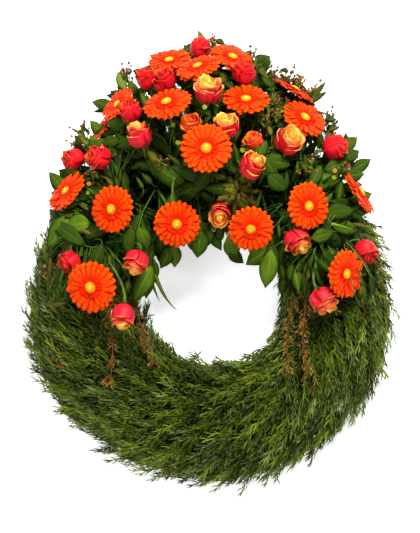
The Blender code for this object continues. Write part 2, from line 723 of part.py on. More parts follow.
def grow_leaves(feet, room):
    """Every leaf of the spray: each spot of the grid tries a few until one lies clear."""
    rng = random.Random(7)
    kept = {block: [] for block in feet}
    for x, y, end_x, end_y, height, block in BLADES:
        tip = seen(end_x, end_y, height)
        root = bed_root(seen(x, y, height), block, feet)
        middle = seen(x, y, 100 * root.z + 4.0)
        line = list(bezier(root, root.lerp(middle, 0.7), middle, tip, 4))
        kept[block].append(leaf(line, (tip - root).cross(Vector((0.0, 0.0, 1.0))).normalized(), 0.0045))
    for angle, reach, height, half in BACK_LEAVES:
        kept["centre"].append(leaf(*back_leaf(angle, reach, height, half, feet["centre"][2])))
    for row in range(14):
        for column in range(-7, 8):
            across, up = (column + 0.5 * (row % 2)) * LEAF_STEP[0], -6.0 + row * LEAF_STEP[1]
            grown = None
            for _ in range(LEAF_TRIES):
                grown = grown or grown_leaf(rng, across, up, feet, room)
            if grown:
                kept[grown[0]].append(grown[1])
    return kept


def seed_spray(name, room):
    """A brown seed spray that stands in its foam hole and hangs in two branches over the conifer."""
    angle, branches = SEED_SPRAYS[name]
    rng = random.Random(len(name))
    top = SHELF_HEIGHT + SEAT_GAP + FOAM_HEIGHT[name]
    foot, neck = on_ring(angle, 0.0, top - HOLE_DEPTH + SEAT_GAP), on_ring(angle, 0.0, top + 0.030)
    base, pieces = None, []
    for places in branches:
        line = [foot, neck] + [over_conifer(across, up, 0.007) for across, up in places]
        stem = make_object(f"seed_spray_{name}", *tube(line, [0.0026, 0.0022, 0.0018, 0.0016, 0.0014, 0.0010], 4),
                           "seeds")
        room.lines += [(line[i].lerp(line[i + 1], s / 6), 0.006, "seeds") for i in range(1, 5) for s in range(6)]
        base = base or stem
        if stem is not base:
            pieces.append(stem)
        for k in range(SEEDS_PER_BRANCH):
            share = 2.3 + 2.65 * (k + 0.5) / SEEDS_PER_BRANCH
            i = int(share)
            root = line[i].lerp(line[i + 1], share - i)
            ahead = (line[i + 1] - line[i]).normalized()
            side = ahead.cross(Vector((0.0, 0.0, 1.0))).normalized() * (1 if k % 2 else -1)
            way = ahead * 0.8 + side * rng.uniform(0.35, 0.75) + Vector((0.0, 0.0, rng.uniform(0.0, 0.3)))
            way.normalize()
            points = [root - way * 0.0008, root + way * SEED_LENGTH * 0.5, root + way * SEED_LENGTH]
            pieces.append(make_object("seed", *tube(points, [0.0006, 0.0024, 0.0004], 3), "seeds"))
    joined(base, pieces)


def main():
    for old in list(bpy.data.objects):
        bpy.data.objects.remove(old)
    straw_ring()
    for index in range(SEGMENTS):
        conifer_segment(index)
    feet = {name: (*BED_ENDS[name], foam_block(name)) for name in FOAM_ENDS}
    room = Room()
    flowers = []
    for number, (across, up, height, lean, direction, radius, block) in enumerate(GERBERAS, 1):
        name, radius = f"gerbera_{number:02d}", radius / 1000
        place, way = seen(across, up, height), facing(lean, direction)
        gerbera_head(name, head_matrix(place, way, number * 0.7), radius)
        room.discs[name] = place, way, radius
        flowers.append((name, place - way * (GERBERA_SEAT + SEAT_GAP), way, block, GERBERA_STEM))
    for number, (across, up, height, lean, direction, size, block) in enumerate(ROSES, 1):
        name = f"rose_{number:02d}"
        place, way = seen(across, up, height), facing(lean, direction)
        rose_head(name, head_matrix(place, way, number * 0.9), size)
        room.balls[name] = place, ROSE_LENGTH * size * 0.56
        flowers.append((name, place - way * (ROSE_LENGTH * size / 2 + SEAT_GAP), way, block, ROSE_STEM))
    for name in SEED_SPRAYS:
        seed_spray(name, room)
    stems = {name: [] for name in feet}
    for name, seat, way, block, radii in flowers:
        vertices, faces = flower_stem(seat, way, block, feet, room, name, radii)
        stems[block].append(make_object("stem", vertices, faces, "greens"))
    room.settle_lines()
    leaves = grow_leaves(feet, room)
    for name, (start, end, foot) in feet.items():
        base, pegs = bed(name, start, end, foot)
        joined(base, pegs + stems[name] + leaves[name])


main()
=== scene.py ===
"""Looks of the memorial wreath: swept conifer sprigs, gerberas, roses, leaves, berries and seed sprays."""

import math
import random
from itertools import product

import bpy
import numpy as np
from mathutils import Matrix, Vector
from mathutils.kdtree import KDTree


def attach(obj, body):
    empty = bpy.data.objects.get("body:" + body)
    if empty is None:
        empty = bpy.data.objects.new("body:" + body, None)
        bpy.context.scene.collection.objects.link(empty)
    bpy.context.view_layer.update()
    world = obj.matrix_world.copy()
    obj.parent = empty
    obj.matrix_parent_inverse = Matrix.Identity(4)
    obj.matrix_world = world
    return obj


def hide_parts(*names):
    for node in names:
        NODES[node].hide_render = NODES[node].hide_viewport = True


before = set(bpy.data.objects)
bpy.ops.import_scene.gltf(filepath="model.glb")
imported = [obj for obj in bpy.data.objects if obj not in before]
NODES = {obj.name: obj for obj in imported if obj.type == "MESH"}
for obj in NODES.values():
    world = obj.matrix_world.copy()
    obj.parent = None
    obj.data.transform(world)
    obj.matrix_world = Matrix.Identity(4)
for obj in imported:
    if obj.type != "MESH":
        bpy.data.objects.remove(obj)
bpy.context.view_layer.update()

# The wreath's own sizes, as its solids have them, in metres
RING_RADIUS = 0.238
RING_CENTRE = Vector((-0.003, -0.070, 0.0))
CONIFER_HALF_WIDTH = 0.088
CONIFER_HEIGHT = 0.112
CONIFER_FOOT = 0.008
SHELF_HEIGHT = 0.085
SEAT_GAP = 0.0003
FOAM_HALF_WIDTH = 0.047
FOAM_ENDS = {"right": (9.0, 52.0), "centre": (60.0, 120.0), "left": (128.0, 168.0)}
FOAM_HEIGHT = {"right": 0.034, "centre": 0.046, "left": 0.034}
BED_ENDS = {"right": (15.5, 52.0), "centre": (60.0, 120.0), "left": (128.0, 163.0)}
BED_HEIGHT = {"right": 0.026, "centre": 0.036, "left": 0.026}
HOLE_DEPTH = 0.027
ROOT_DEPTH = 0.012
GERBERA_SEAT = 0.0075
ROSE_LENGTH = 0.050
ROSE_RADIUS = 0.0225

# Where the needles reach: their half width and rise, their top beside the shelf, and where the shelf ends
NEEDLE_HALF_WIDTH = CONIFER_HALF_WIDTH + 0.038
NEEDLE_RISE = CONIFER_HEIGHT + 0.028
SHELF_NEEDLE_TOP = SHELF_HEIGHT + 0.020
SHELF_END = 170
CONIFER_GUESS = 14.0

# Where the foam begins and ends and one block takes over from another, in degrees round the ring
FIRST_FOAM, LAST_FOAM = 9, 168
CENTRE_STARTS, LEFT_STARTS = 56, 124

# The room that a gerbera's petals and the back of its head take, and how much of a bloom must stay in sight
PETALS_FROM, PETALS_TO = -0.004, 0.008
BACK_FROM, BACK_RADIUS = -0.012, 0.009
DISC_COVER, BALL_COVER = 0.92, 0.72

# What a stem tries in turn: how far out its foot stands, how far it rises straight, and its foot's swing
STEM_BASES = (0.0, -0.018, 0.018, 0.0)
STEM_LIFTS = (0.35, 0.22, 0.5)
STEM_SWINGS = (0, 6, -6, 12, -12, 18, -18, 26, -26, 34)

# Conifer: lengths on the shelf, sprigs along and round each length, a sprig's reach, and shares of each tint
SHELF_LENGTHS = 5
SPRIGS_ALONG, SPRIGS_ROUND = 15, 29
SPRIG_REACH = 0.070
NEEDLE_TINTS = (("needles", 0.0, 0.62), ("needles_blue", 0.62, 0.99), ("needles_brown", 0.99, 1.0))

# Finishes: a full turn of the veins' wave, and the places across that tell a sheet's other side
FULL_TURN = 6.2832
OTHER_SIDE = (1.4, 1.6)

# Light: the lamps' places, sizes, power and aims, the floor's own glow and the sky's
LIGHTS = (
    ("key", (0.5, 1.3, 2.3), 1.0, 106.0, (0.0, 0.0, 0.05)),
    ("fill", (-1.5, -1.3, 2.2), 1.4, 34.0, (0.0, 0.0, 0.05)),
    ("front", (0.7, -1.9, 1.1), 1.0, 9.0, (0.0, 0.1, 0.15)),
)
FLOOR_GLOW = 0.80
SKY_LIGHT = 0.22

# The camera: its focal length and picture height in pixels, and its sensor in mm
FOCAL_PIXELS = 1210.0
PICTURE_HEIGHT = 533.0
SENSOR_HEIGHT = 36.0

# The eye that the flowers are set out for: its height over the horizon, its distance and its aim
VIEW_ELEVATION = math.radians(75.0)
VIEW_DISTANCE = 2.3
VIEW_AIM_UP = 0.056
VIEW_PLANE_HEIGHT = 0.05

# Gerberas: across and up in the view and height over the ground in cm, lean from the line of sight and
# its direction in degrees, anticlockwise from the right, head radius in mm, and the block that holds it
GERBERAS = (
    (-7.5, 44.6, 17.0, 52, 100, 43, "centre"),
    (-2.1, 43.5, 21.5, 55, 108, 43, "centre"),
    (4.4, 45.3, 17.8, 50, 66, 43, "centre"),
    (-8.0, 36.7, 25.5, 47, 107, 46, "centre"),
    (7.0, 37.2, 23.5, 47, 88, 45, "centre"),
    (18.1, 33.8, 19.5, 46, 57, 45, "centre"),
    (16.2, 39.2, 16.0, 76, 60, 44, "centre"),
    (-17.3, 36.3, 16.5, 58, 140, 40, "centre"),
    (-20.3, 31.9, 12.5, 72, 145, 40, "left"),
    (-27.0, 19.8, 15.0, 55, 139, 44, "left"),
    (-0.5, 28.0, 27.8, 15, 90, 47, "centre"),
    (-18.4, 16.5, 19.5, 23, 180, 44, "left"),
    (-6.1, 13.7, 19.5, 8, 270, 43, "centre"),
    (8.0, 12.8, 20.5, 16, 250, 42, "centre"),
    (18.8, 17.1, 20.8, 27, 0, 44, "right"),
    (28.7, 19.6, 14.0, 70, 33, 45, "right"),
    (25.9, 4.2, 18.0, 41, 355, 45, "right"),
    (-22.4, 1.7, 18.0, 15, 200, 47, "left"),
)

# Roses: the same, with the head's size against the usual one
ROSES = (
    (-12.0, 41.5, 20.0, 60, 112, 0.92, "centre"),
    (-8.4, 41.1, 22.0, 50, 110, 0.95, "centre"),
    (-1.7, 47.2, 16.4, 65, 85, 0.95, "centre"),
    (-0.1, 39.3, 24.8, 50, 90, 1.10, "centre"),
    (6.7, 42.8, 21.9, 60, 90, 1.00, "centre"),
    (-15.1, 35.2, 21.2, 60, 125, 0.92, "centre"),
    (-13.1, 30.8, 22.7, 65, 105, 1.05, "centre"),
    (-25.9, 26.0, 14.5, 60, 190, 0.90, "left"),
    (-21.1, 26.4, 17.5, 60, 165, 0.98, "left"),
    (3.3, 32.5, 25.7, 50, 100, 1.00, "centre"),
    (-3.4, 32.9, 24.5, 30, 110, 0.80, "centre"),
    (8.4, 24.9, 25.0, 45, 45, 1.05, "centre"),
    (8.4, 29.3, 23.5, 50, 120, 0.80, "centre"),
    (15.2, 29.6, 22.9, 40, 55, 1.08, "centre"),
    (24.1, 28.5, 16.5, 75, 15, 1.05, "right"),
    (2.2, 15.4, 18.0, 30, 260, 0.95, "centre"),
    (-13.9, 6.3, 18.5, 65, 250, 0.98, "left"),
    (-26.6, 6.3, 15.3, 60, 215, 0.90, "left"),
    (-16.3, -4.0, 16.5, 70, 265, 1.02, "left"),
    (16.9, 10.3, 18.3, 60, 300, 1.05, "right"),
    (30.0, 8.4, 14.7, 65, 300, 0.98, "right"),
    (21.9, -1.0, 16.5, 70, 300, 1.08, "right"),
)

# The roses that aren't red, and how many heart petals of pale and two-toned ones are yellow
ROSE_KINDS = {
    **dict.fromkeys((4, 10, 14), "pale"), **dict.fromkeys((11, 13), "orange"),
    **dict.fromkeys((7, 12, 16, 17, 19, 20, 22), "two"),
}
HEART_PETALS = {"pale": 9, "two": 6}

# How much further out and in the needles reach round the ring: angles in degrees, then metres
OUTER_EDGE = (
    (0, 12, 60, 130, 165, 188, 200, 230, 262, 280, 300, 318, 332, 350, 360),
    (0.004, -0.004, 0.0, 0.0, -0.007, -0.004, 0.003, -0.004, -0.003, 0.006, -0.002, 0.005, 0.003, 0.010, 0.004),
)
INNER_EDGE = (
    (0, 180, 203, 240, 265, 290, 315, 345, 360),
    (-0.003, 0.0, 0.010, 0.012, 0.014, 0.009, -0.005, -0.009, -0.003),
)
FURTHEST_TIP = 0.368

# Large leaves: the part of the ring for each block's ones in degrees, the steps of their grid in cm, tries
# for each, the place in the view that they point away from, their lengths and half widths, and how wide the
# places that are checked are: which stretch, how far along it, and the share of the half width
SECTORS = {"right": (-12.0, 55.0), "centre": (57.0, 123.0), "left": (125.0, 192.0)}
LEAF_STEP = (5.9, 5.1)
LEAF_TRIES = 24
LEAF_HEART = (0.3, 17.0)
LEAF_BLADES = (0.065, 0.100)
LEAF_HALF_WIDTHS = (0.015, 0.023)
LEAF_PROBES = ((1, 0.5, 0.5), (2, 0.0, 1.0), (2, 0.5, 0.92), (3, 0.0, 0.84), (3, 0.5, 0.42), (3, 1.0, 0.0))
LOWEST_LEAF = 0.03

# A leaf's width along its blade
BLADE_STOPS = (0, 0.08, 0.2, 0.35, 0.5, 0.65, 0.8, 0.92, 1)
BLADE_WIDTHS = (0.10, 0.36, 0.74, 1, 0.95, 0.74, 0.42, 0.16, 0.02)

# Smaller leaves: how deep below the blooms and how far apart they are in cm, their kinds and their tones, which are
# painted shade: the deeper the layer, the darker its kinds and tones
SMALL_LEAVES = (
    ((0.0, 3.5), 2.8, ("dark", "dark", "mid", "mid", "bright", "red"), 0.1, 1.0),
    ((2.0, 7.0), 2.9, ("dark", "mid", "red"), 0.0, 0.6),
    ((6.0, 13.0), 3.3, ("dark",), 0.0, 0.3),
)

# The spray's outline in the view: its middle and size in cm, and how square it is
OUTLINE_MIDDLE = (0.3, 15.4)
OUTLINE_SIZE = (31.0, 33.5)
OUTLINE_POWER = 1.7

# Leaves that hang out over the ring behind the spray: the angle round the ring in degrees, how far out
# from the ring's line and how high their tips are, and their half width
BACK_LEAVES = (
    (64.0, 0.165, 0.100, 0.018),
    (71.0, 0.183, 0.084, 0.020),
    (79.0, 0.172, 0.098, 0.018),
    (86.0, 0.192, 0.080, 0.021),
    (94.0, 0.178, 0.092, 0.019),
    (101.0, 0.190, 0.082, 0.020),
    (109.0, 0.174, 0.096, 0.018),
    (116.0, 0.165, 0.100, 0.018),
)
BACK_STALK_REACH = 0.096

# Narrow blades: where they leave the bed and where their tips are seen, with the tips' heights, in cm
BLADES = (
    (-6.4, 24.5, -7.4, 17.0, 22.0, "centre"),
    (22.6, 14.0, 28.0, 12.6, 15.0, "right"),
)

# Blades of the same kind that hang in a curve over the ring's inner edge: where they leave the bed, where
# they turn and where their tips are seen, with the tips' heights, in cm
HANGING_BLADES = (
    (-10.3, 9.5, -10.8, 0.2, -5.8, -2.9, 11.0),
    (-11.0, 8.0, -11.4, 2.0, -9.2, -1.2, 11.0),
)

# Brown seed sprays: the foam hole they stand in and, as seen in cm, the points their branches pass
SEED_SPRAYS = {
    "left": (165.5, (
        ((-17.5, 0.5), (-19.4, -4.0), (-18.0, -10.5), (-18.8, -16.0)),
        ((-17.5, 0.5), (-14.0, -2.5), (-12.2, -7.5), (-10.6, -12.5)),
    )),
    "right": (13.0, (
        ((18.5, 1.5), (15.8, -2.0), (14.6, -7.5), (15.2, -13.5)),
        ((18.5, 1.5), (18.2, -4.0), (17.6, -8.5), (18.8, -14.0)),
    )),
}

# Single leaves that show by themselves: their tips as seen and their heights in cm, the way they point in
# degrees, length and half width in mm, kind, and block
LONE_LEAVES = (
    (-2.1, 50.6, 15.0, 112, 46, 7, "bright", "centre"),
    (11.6, 45.6, 15.0, 40, 42, 17, "dark", "centre"),
    (-17.4, 42.6, 14.0, 112, 42, 10, "pale", "centre"),
    (-22.3, 36.9, 12.5, 165, 50, 12, "mid", "centre"),
    (-19.5, 33.0, 17.0, 170, 48, 17, "dark", "centre"),
    (-30.4, 23.6, 12.5, 130, 52, 13, "mid", "left"),
    (-30.6, 8.9, 12.5, 235, 80, 21, "bright", "left"),
    (-27.0, 13.4, 14.5, 185, 46, 20, "bright", "left"),
    (-15.4, 7.8, 15.5, 262, 52, 16, "dark", "left"),
    (-11.6, 8.6, 16.0, 290, 50, 15, "mid", "centre"),
    (-13.3, 1.6, 12.0, 272, 72, 16, "dark", "left"),
    (-2.4, 8.2, 14.0, 282, 44, 14, "dark", "centre"),
    (-9.6, 6.6, 13.0, 260, 52, 13, "mid", "centre"),
    (-7.2, 8.0, 13.0, 295, 40, 11, "dark", "centre"),
    (-2.2, 7.2, 13.5, 262, 56, 17, "mid", "centre"),
    (-0.6, 9.6, 13.0, 307, 50, 13, "mid", "centre"),
    (-14.3, -1.1, 12.0, 243, 76, 19, "bright", "left"),
    (0.6, 10.6, 14.0, 300, 40, 10, "mid", "centre"),
    (13.6, 41.2, 15.5, 60, 40, 10, "dark", "centre"),
    (15.0, 37.4, 15.0, 25, 48, 14, "dark", "centre"),
    (12.6, 43.0, 14.0, 55, 44, 11, "dark", "centre"),
    (17.0, 35.0, 15.5, 15, 46, 13, "dark", "centre"),
    (20.2, 36.6, 12.5, 40, 42, 12, "mid", "centre"),
    (29.2, 21.2, 12.5, 10, 46, 12, "mid", "right"),
    (15.0, 39.4, 15.0, 35, 42, 10, "mid", "centre"),
    (12.4, 40.4, 16.0, 85, 40, 11, "mid", "centre"),
    (17.4, 37.6, 15.5, 50, 40, 10, "dark", "centre"),
    (-21.0, 30.4, 13.5, 160, 44, 11, "mid", "left"),
    (-19.2, 29.0, 15.0, 178, 44, 12, "dark", "left"),
    (-22.6, 33.4, 13.5, 130, 42, 11, "mid", "left"),
    (-21.4, 31.4, 14.0, 170, 42, 12, "dark", "left"),
    (-20.6, 28.8, 14.5, 190, 44, 12, "mid", "left"),
    (-15.3, 41.0, 15.0, 118, 42, 10, "mid", "centre"),
    (-27.6, 25.4, 12.5, 140, 44, 11, "mid", "left"),
    (-12.0, -0.6, 12.0, 262, 60, 13, "mid", "left"),
    (-10.2, 2.6, 12.5, 280, 50, 13, "dark", "left"),
    (-6.5, 5.4, 13.0, 268, 50, 13, "mid", "centre"),
    (-0.9, 9.0, 14.0, 248, 38, 9, "bright", "centre"),
    (2.4, 8.6, 13.5, 300, 44, 11, "dark", "centre"),
    (7.0, 5.9, 13.0, 215, 60, 18, "bright", "centre"),
    (-9.2, 5.2, 13.0, 242, 50, 14, "mid", "centre"),
    (-1.8, 9.6, 14.0, 225, 40, 12, "dark", "centre"),
    (14.8, 40.8, 14.0, 60, 42, 12, "dark", "centre"),
    (16.4, 38.8, 14.0, 45, 46, 13, "mid", "centre"),
    (15.8, 37.2, 15.5, 20, 42, 14, "dark", "centre"),
    (18.6, 37.2, 12.5, 35, 46, 12, "dark", "centre"),
    (6.4, 41.4, 16.5, 80, 44, 14, "dark", "centre"),
    (30.4, 15.8, 12.0, 350, 46, 12, "mid", "right"),
    (-28.6, 24.0, 12.0, 150, 42, 11, "dark", "left"),
    (-24.4, 29.9, 13.0, 150, 30, 8, "bright", "left"),
    (-23.4, 28.6, 13.5, 190, 30, 8, "mid", "left"),
    (-22.6, 30.6, 13.5, 120, 30, 8, "bright", "left"),
    (-22.0, 28.2, 14.0, 215, 28, 8, "mid", "left"),
    (-24.2, 27.2, 13.0, 200, 32, 9, "dark", "left"),
    (-25.6, 26.4, 13.0, 160, 30, 8, "bright", "left"),
    (-20.2, 27.4, 14.5, 170, 36, 11, "dark", "left"),
    (-18.0, 31.0, 16.0, 140, 40, 10, "bright", "left"),
    (31.0, 19.5, 12.5, 20, 50, 13, "mid", "right"),
    (-17.4, 28.2, 17.0, 200, 46, 12, "dark", "left"),
    (-16.0, 33.4, 17.0, 150, 44, 11, "mid", "centre"),
    (16.4, 26.8, 19.0, 20, 48, 13, "dark", "centre"),
    (21.4, 24.8, 17.0, 60, 48, 13, "mid", "right"),
    (31.2, 16.5, 12.0, 0, 50, 12, "dark", "right"),
    (-30.0, 21.0, 12.0, 160, 48, 12, "dark", "left"),
    (1.4, 9.6, 13.5, 255, 42, 10, "dark", "centre"),
    (5.0, 6.8, 14.0, 286, 50, 16, "mid", "centre"),
    (9.8, 6.8, 13.5, 300, 44, 12, "mid", "centre"),
    (11.8, 4.2, 13.0, 270, 60, 16, "dark", "centre"),
    (26.4, 25.4, 15.0, 20, 52, 14, "mid", "right"),
    (28.6, 27.6, 13.0, 30, 54, 14, "dark", "right"),
    (29.6, 23.2, 13.0, 10, 52, 14, "mid", "right"),
    (6.6, 6.2, 13.0, 320, 46, 12, "dark", "centre"),
    (10.7, 1.5, 12.0, 262, 76, 18, "bright", "right"),
    (11.0, 29.6, 23.5, 60, 44, 13, "mid", "centre"),
    (15.6, 24.8, 20.5, 350, 52, 16, "mid", "centre"),
    (12.6, 22.6, 23.0, 300, 44, 15, "mid", "centre"),
    (14.6, 20.0, 22.0, 320, 46, 16, "dark", "centre"),
    (27.6, 16.2, 15.0, 5, 58, 17, "dark", "right"),
    (28.4, 12.4, 13.0, 350, 56, 16, "mid", "right"),
    (24.4, 10.6, 15.5, 330, 50, 15, "dark", "right"),
    (30.8, 26.0, 12.0, 32, 56, 13, "mid", "right"),
    (22.3, 40.8, 12.5, 50, 62, 6, "dark", "centre"),
    (22.5, 38.9, 12.5, 35, 60, 6, "dark", "centre"),
    (19.4, 38.6, 13.0, 60, 40, 10, "mid", "centre"),
    (17.8, 38.2, 13.5, 80, 38, 10, "mid", "centre"),
    (28.2, 30.2, 11.5, 40, 46, 13, "mid", "right"),
    (23.6, 12.0, 17.5, 15, 46, 14, "mid", "right"),
)

# Berry sprays: where their tops are seen and their heights in cm, how far they spread, and their block
BERRY_SPRAYS = (
    (-24.8, 32.4, 13.0, 3.2, "left"),
    (-25.4, 28.6, 13.0, 2.6, "left"),
    (-16.3, 42.9, 14.0, 2.4, "centre"),
    (0.6, 48.6, 15.0, 2.2, "centre"),
    (15.4, 41.8, 14.5, 3.6, "centre"),
    (12.0, 42.4, 15.0, 2.6, "centre"),
    (11.6, 35.7, 20.0, 2.4, "centre"),
    (22.4, 34.4, 13.5, 2.6, "right"),
    (23.6, 32.6, 12.5, 2.2, "right"),
    (-30.8, 4.6, 11.5, 2.4, "left"),
    (32.0, 5.6, 11.5, 2.2, "right"),
    (-22.6, 23.2, 16.5, 2.2, "left"),
    (12.2, 37.6, 20.0, 2.6, "centre"),
    (13.9, 35.0, 20.5, 2.6, "centre"),
    (17.2, 41.2, 14.0, 2.4, "centre"),
    (8.0, 46.0, 15.5, 2.2, "centre"),
    (7.4, 27.4, 23.5, 2.2, "centre"),
    (-9.3, 25.2, 22.5, 2.4, "centre"),
    (18.3, 24.4, 20.5, 2.4, "centre"),
    (25.4, 23.8, 16.0, 2.4, "right"),
    (13.4, 39.0, 15.5, 2.8, "centre"),
    (15.4, 36.4, 17.5, 2.6, "centre"),
    (14.4, 41.2, 14.5, 2.4, "centre"),
    (16.6, 38.6, 15.0, 2.4, "centre"),
    (19.6, 39.0, 13.5, 2.2, "centre"),
    (18.8, 36.4, 13.5, 2.6, "centre"),
    (10.6, 33.6, 22.0, 2.2, "centre"),
    (20.4, 33.2, 15.0, 2.4, "right"),
)

# Where the rosette of lobed leaves is seen and its height, in cm
LOBED_CLUSTER = (5.7, 19.8, 20.5)

# The scales of a bud: number, distance out, tilt and size of each layer
BUD_SCALES = ((9, 0.10, 0.1, 0.62), (8, 0.06, 0.5, 0.55), (6, 0.03, 0.95, 0.45), (4, 0.01, 1.3, 0.35))

# Buds: where they are seen and their heights in cm, their width in mm, kind and block
BUDS = (
    (-0.8, 35.9, 25.0, 16, "green", "centre"),
    (-6.8, 32.5, 23.8, 15, "green", "centre"),
    (-5.9, 29.1, 24.2, 15, "green", "centre"),
    (6.4, 27.7, 24.6, 16, "green", "centre"),
    (-3.0, 34.0, 24.0, 12, "green", "centre"),
    (2.6, 33.4, 24.0, 11, "green", "centre"),
    (23.8, 22.5, 18.5, 14, "green", "right"),
    (23.9, 23.8, 18.0, 15, "peach", "right"),
    (-23.0, 19.6, 17.0, 12, "green", "left"),
    (-22.8, 21.3, 16.6, 15, "peach", "left"),
)


# ---- where things stand ----

def view_axes():
    """The view's right, up and towards-the-eye directions."""
    right = Vector((1.0, 0.0, 0.0))
    up = Vector((0.0, math.sin(VIEW_ELEVATION), math.cos(VIEW_ELEVATION)))
    return right, up, right.cross(up)


RIGHT, RISE, TOWARDS = view_axes()
UP = Vector((0.0, 0.0, 1.0))
VIEW_PLANE = RING_CENTRE + UP * VIEW_PLANE_HEIGHT
EYE = VIEW_PLANE + RISE * VIEW_AIM_UP + TOWARDS * VIEW_DISTANCE


def seen(across, up, height):
    """The point at this height that is seen at these places in the view, all in cm."""
    spot = VIEW_PLANE + RIGHT * across / 100 + RISE * up / 100
    share = (height / 100 - EYE.z) / (spot.z - EYE.z)
    return EYE + (spot - EYE) * share


def in_view(turn):
    """The direction in the view's plane at a turn from its right."""
    return RIGHT * math.cos(turn) + RISE * math.sin(turn)


def facing(lean, direction):
    """The way a flower faces, from its lean off the line of sight and the lean's direction in view."""
    lean = math.radians(lean)
    return (TOWARDS * math.cos(lean) + in_view(math.radians(direction)) * math.sin(lean)).normalized()


def out_and_along(angle):
    """The directions out from the ring's middle and along the ring at an angle in degrees."""
    turn = math.radians(angle)
    return Vector((math.cos(turn), math.sin(turn), 0.0)), Vector((-math.sin(turn), math.cos(turn), 0.0))


def on_ring(angle, offset, height):
    """A point by its angle round the ring in degrees, its distance out from the ring's line and its height."""
    turn = math.radians(angle)
    radius = RING_RADIUS + offset
    return RING_CENTRE + Vector((radius * math.cos(turn), radius * math.sin(turn), height))


def round_ring(point):
    """A point's angle round the ring, from -90 to 270 degrees, and its distance out from the ring's line."""
    flat = point - RING_CENTRE
    angle = math.degrees(math.atan2(flat.y, flat.x))
    return angle + 360 if angle < -90 else angle, math.hypot(flat.x, flat.y) - RING_RADIUS


def block_at(angle):
    """The foam block that holds what stands at an angle round the ring."""
    return "right" if angle < CENTRE_STARTS else "left" if angle > LEFT_STARTS else "centre"


def within(value, low, high):
    """The value, kept between two limits."""
    return min(max(value, low), high)


def bezier(a, b, c, d, steps):
    """Points along the cubic from a to d that b and c draw out."""
    line = []
    for i in range(steps + 1):
        t = i / steps
        s = 1 - t
        line.append(a * s**3 + b * 3 * s * s * t + c * 3 * s * t * t + d * t**3)
    return line


def head_matrix(place, way, roll):
    """Stands a head up along the way it faces, at its place."""
    stood = way.to_track_quat("Z", "Y").to_matrix().to_4x4()
    return Matrix.Translation(place) @ stood @ Matrix.Rotation(roll, 4, "Z")


def needle_top(angle, offset):
    """The height that the conifer's needles reach at a place, lower beside the shelf."""
    share = max(0.0, 1 - (offset / NEEDLE_HALF_WIDTH) ** 2)
    top = CONIFER_FOOT + NEEDLE_RISE * math.sqrt(share)
    return min(top, SHELF_NEEDLE_TOP) if 0 < angle < SHELF_END else top


def over_conifer(across, up, clearance):
    """The point seen at a place that lies this far over the ring of needles."""
    point = seen(across, up, CONIFER_GUESS)
    for _ in range(3):
        point = seen(across, up, 100 * (needle_top(*round_ring(point)) + clearance))
    return point


class Room:
    """What a new stem or leaf has to stay clear of."""

    def __init__(self):
        self.discs, self.balls, self.lines, self.others = {}, {}, [], {}

    def clear_of_heads(self, point, margin, own=None):
        """Whether a point lies clear of every head but its own."""
        for name, (centre, way, radius) in self.discs.items():
            gap = point - centre
            height = gap.dot(way)
            reach = (gap - way * height).length
            petals = PETALS_FROM - margin < height < PETALS_TO + margin and reach < radius + margin
            back = BACK_FROM - margin < height < 0.0 and reach < BACK_RADIUS + margin
            if name != own and (petals or back):
                return False
        return not any(
            name != own and (point - centre).length < radius + margin
            for name, (centre, radius) in self.balls.items()
        )

    def hides(self, point):
        """Whether a point lies in front of a bloom, as the view shows it."""
        for centre, way, radius in self.discs.values():
            gap = point - centre
            behind = gap.dot(way) / TOWARDS.dot(way)
            if behind > PETALS_FROM and (gap - TOWARDS * behind).length < radius * DISC_COVER:
                return True
        for centre, radius in self.balls.values():
            gap = point - centre
            along = gap.dot(TOWARDS)
            if along > 0 and (gap - TOWARDS * along).length < radius * BALL_COVER:
                return True
        return False

    def clear(self, point, margin, block, foot):
        """Whether a point of a block's leaf lies clear of the heads, the conifer and the other blocks."""
        angle, offset = round_ring(point)
        low, high = SECTORS[block]
        if not low < angle < high or point.z < LOWEST_LEAF:
            return False
        over_foam = abs(offset) < FOAM_HALF_WIDTH + 0.002 and FIRST_FOAM < angle < LAST_FOAM
        top = foot + 0.003 if over_foam else needle_top(angle, offset)
        if point.z < top or not self.clear_of_heads(point, margin):
            return False
        _, _, distance = self.others[block].find(point)
        return distance > margin + 0.004

    def clear_of_lines(self, point, margin, block):
        """Whether a point of a block's stem lies clear of the stems of the others."""
        return not any(
            other != block and (point - spot).length < radius + margin for spot, radius, other in self.lines
        )

    def settle_lines(self):
        for block in SECTORS:
            spots = [spot for spot, _, other in self.lines if other != block]
            self.others[block] = KDTree(len(spots))
            for i, spot in enumerate(spots):
                self.others[block].insert(spot, i)
            self.others[block].balance()


def stem_line(seat, way, block, feet, room, own):
    """The first clear line of a stem from its block up to the seat of its head, as four draw points."""
    start, end, foot = feet[block]
    angle, offset = round_ring(seat)
    for base, lift, swing in product(STEM_BASES, STEM_LIFTS, STEM_SWINGS):
        low = within(angle + swing, start + 2, end - 2)
        root = on_ring(low, within(offset + base, -0.025, 0.025), foot + 0.010)
        reach = (seat - root).length
        leave = ((seat - root).normalized() + UP * 0.8).normalized()
        bends = root + leave * reach * lift, seat - way * reach * lift
        probes = bezier(root, *bends, seat, 16)
        if all(room.clear_of_heads(p, 0.004, own) and room.clear_of_lines(p, 0.003, block) for p in probes):
            break
    room.lines += [(probe, 0.003, block) for probe in probes]
    return root, *bends, seat


def bed_root(point, block, feet):
    """The place on a block's bed that lies nearest below a point."""
    start, end, foot = feet[block]
    angle, offset = round_ring(point)
    return on_ring(within(angle, start + 4, end - 4), within(offset, -0.026, 0.026), foot + ROOT_DEPTH)


def leaf_height(across, up):
    """The height of the blooms around a place in the view, in cm."""
    total = weights = 0.0
    for other, rise, height, *_ in GERBERAS + ROSES:
        weight = 1 / ((across - other) ** 2 + (up - rise) ** 2 + 4.0) ** 1.5
        total += weight * height
        weights += weight
    return total / weights


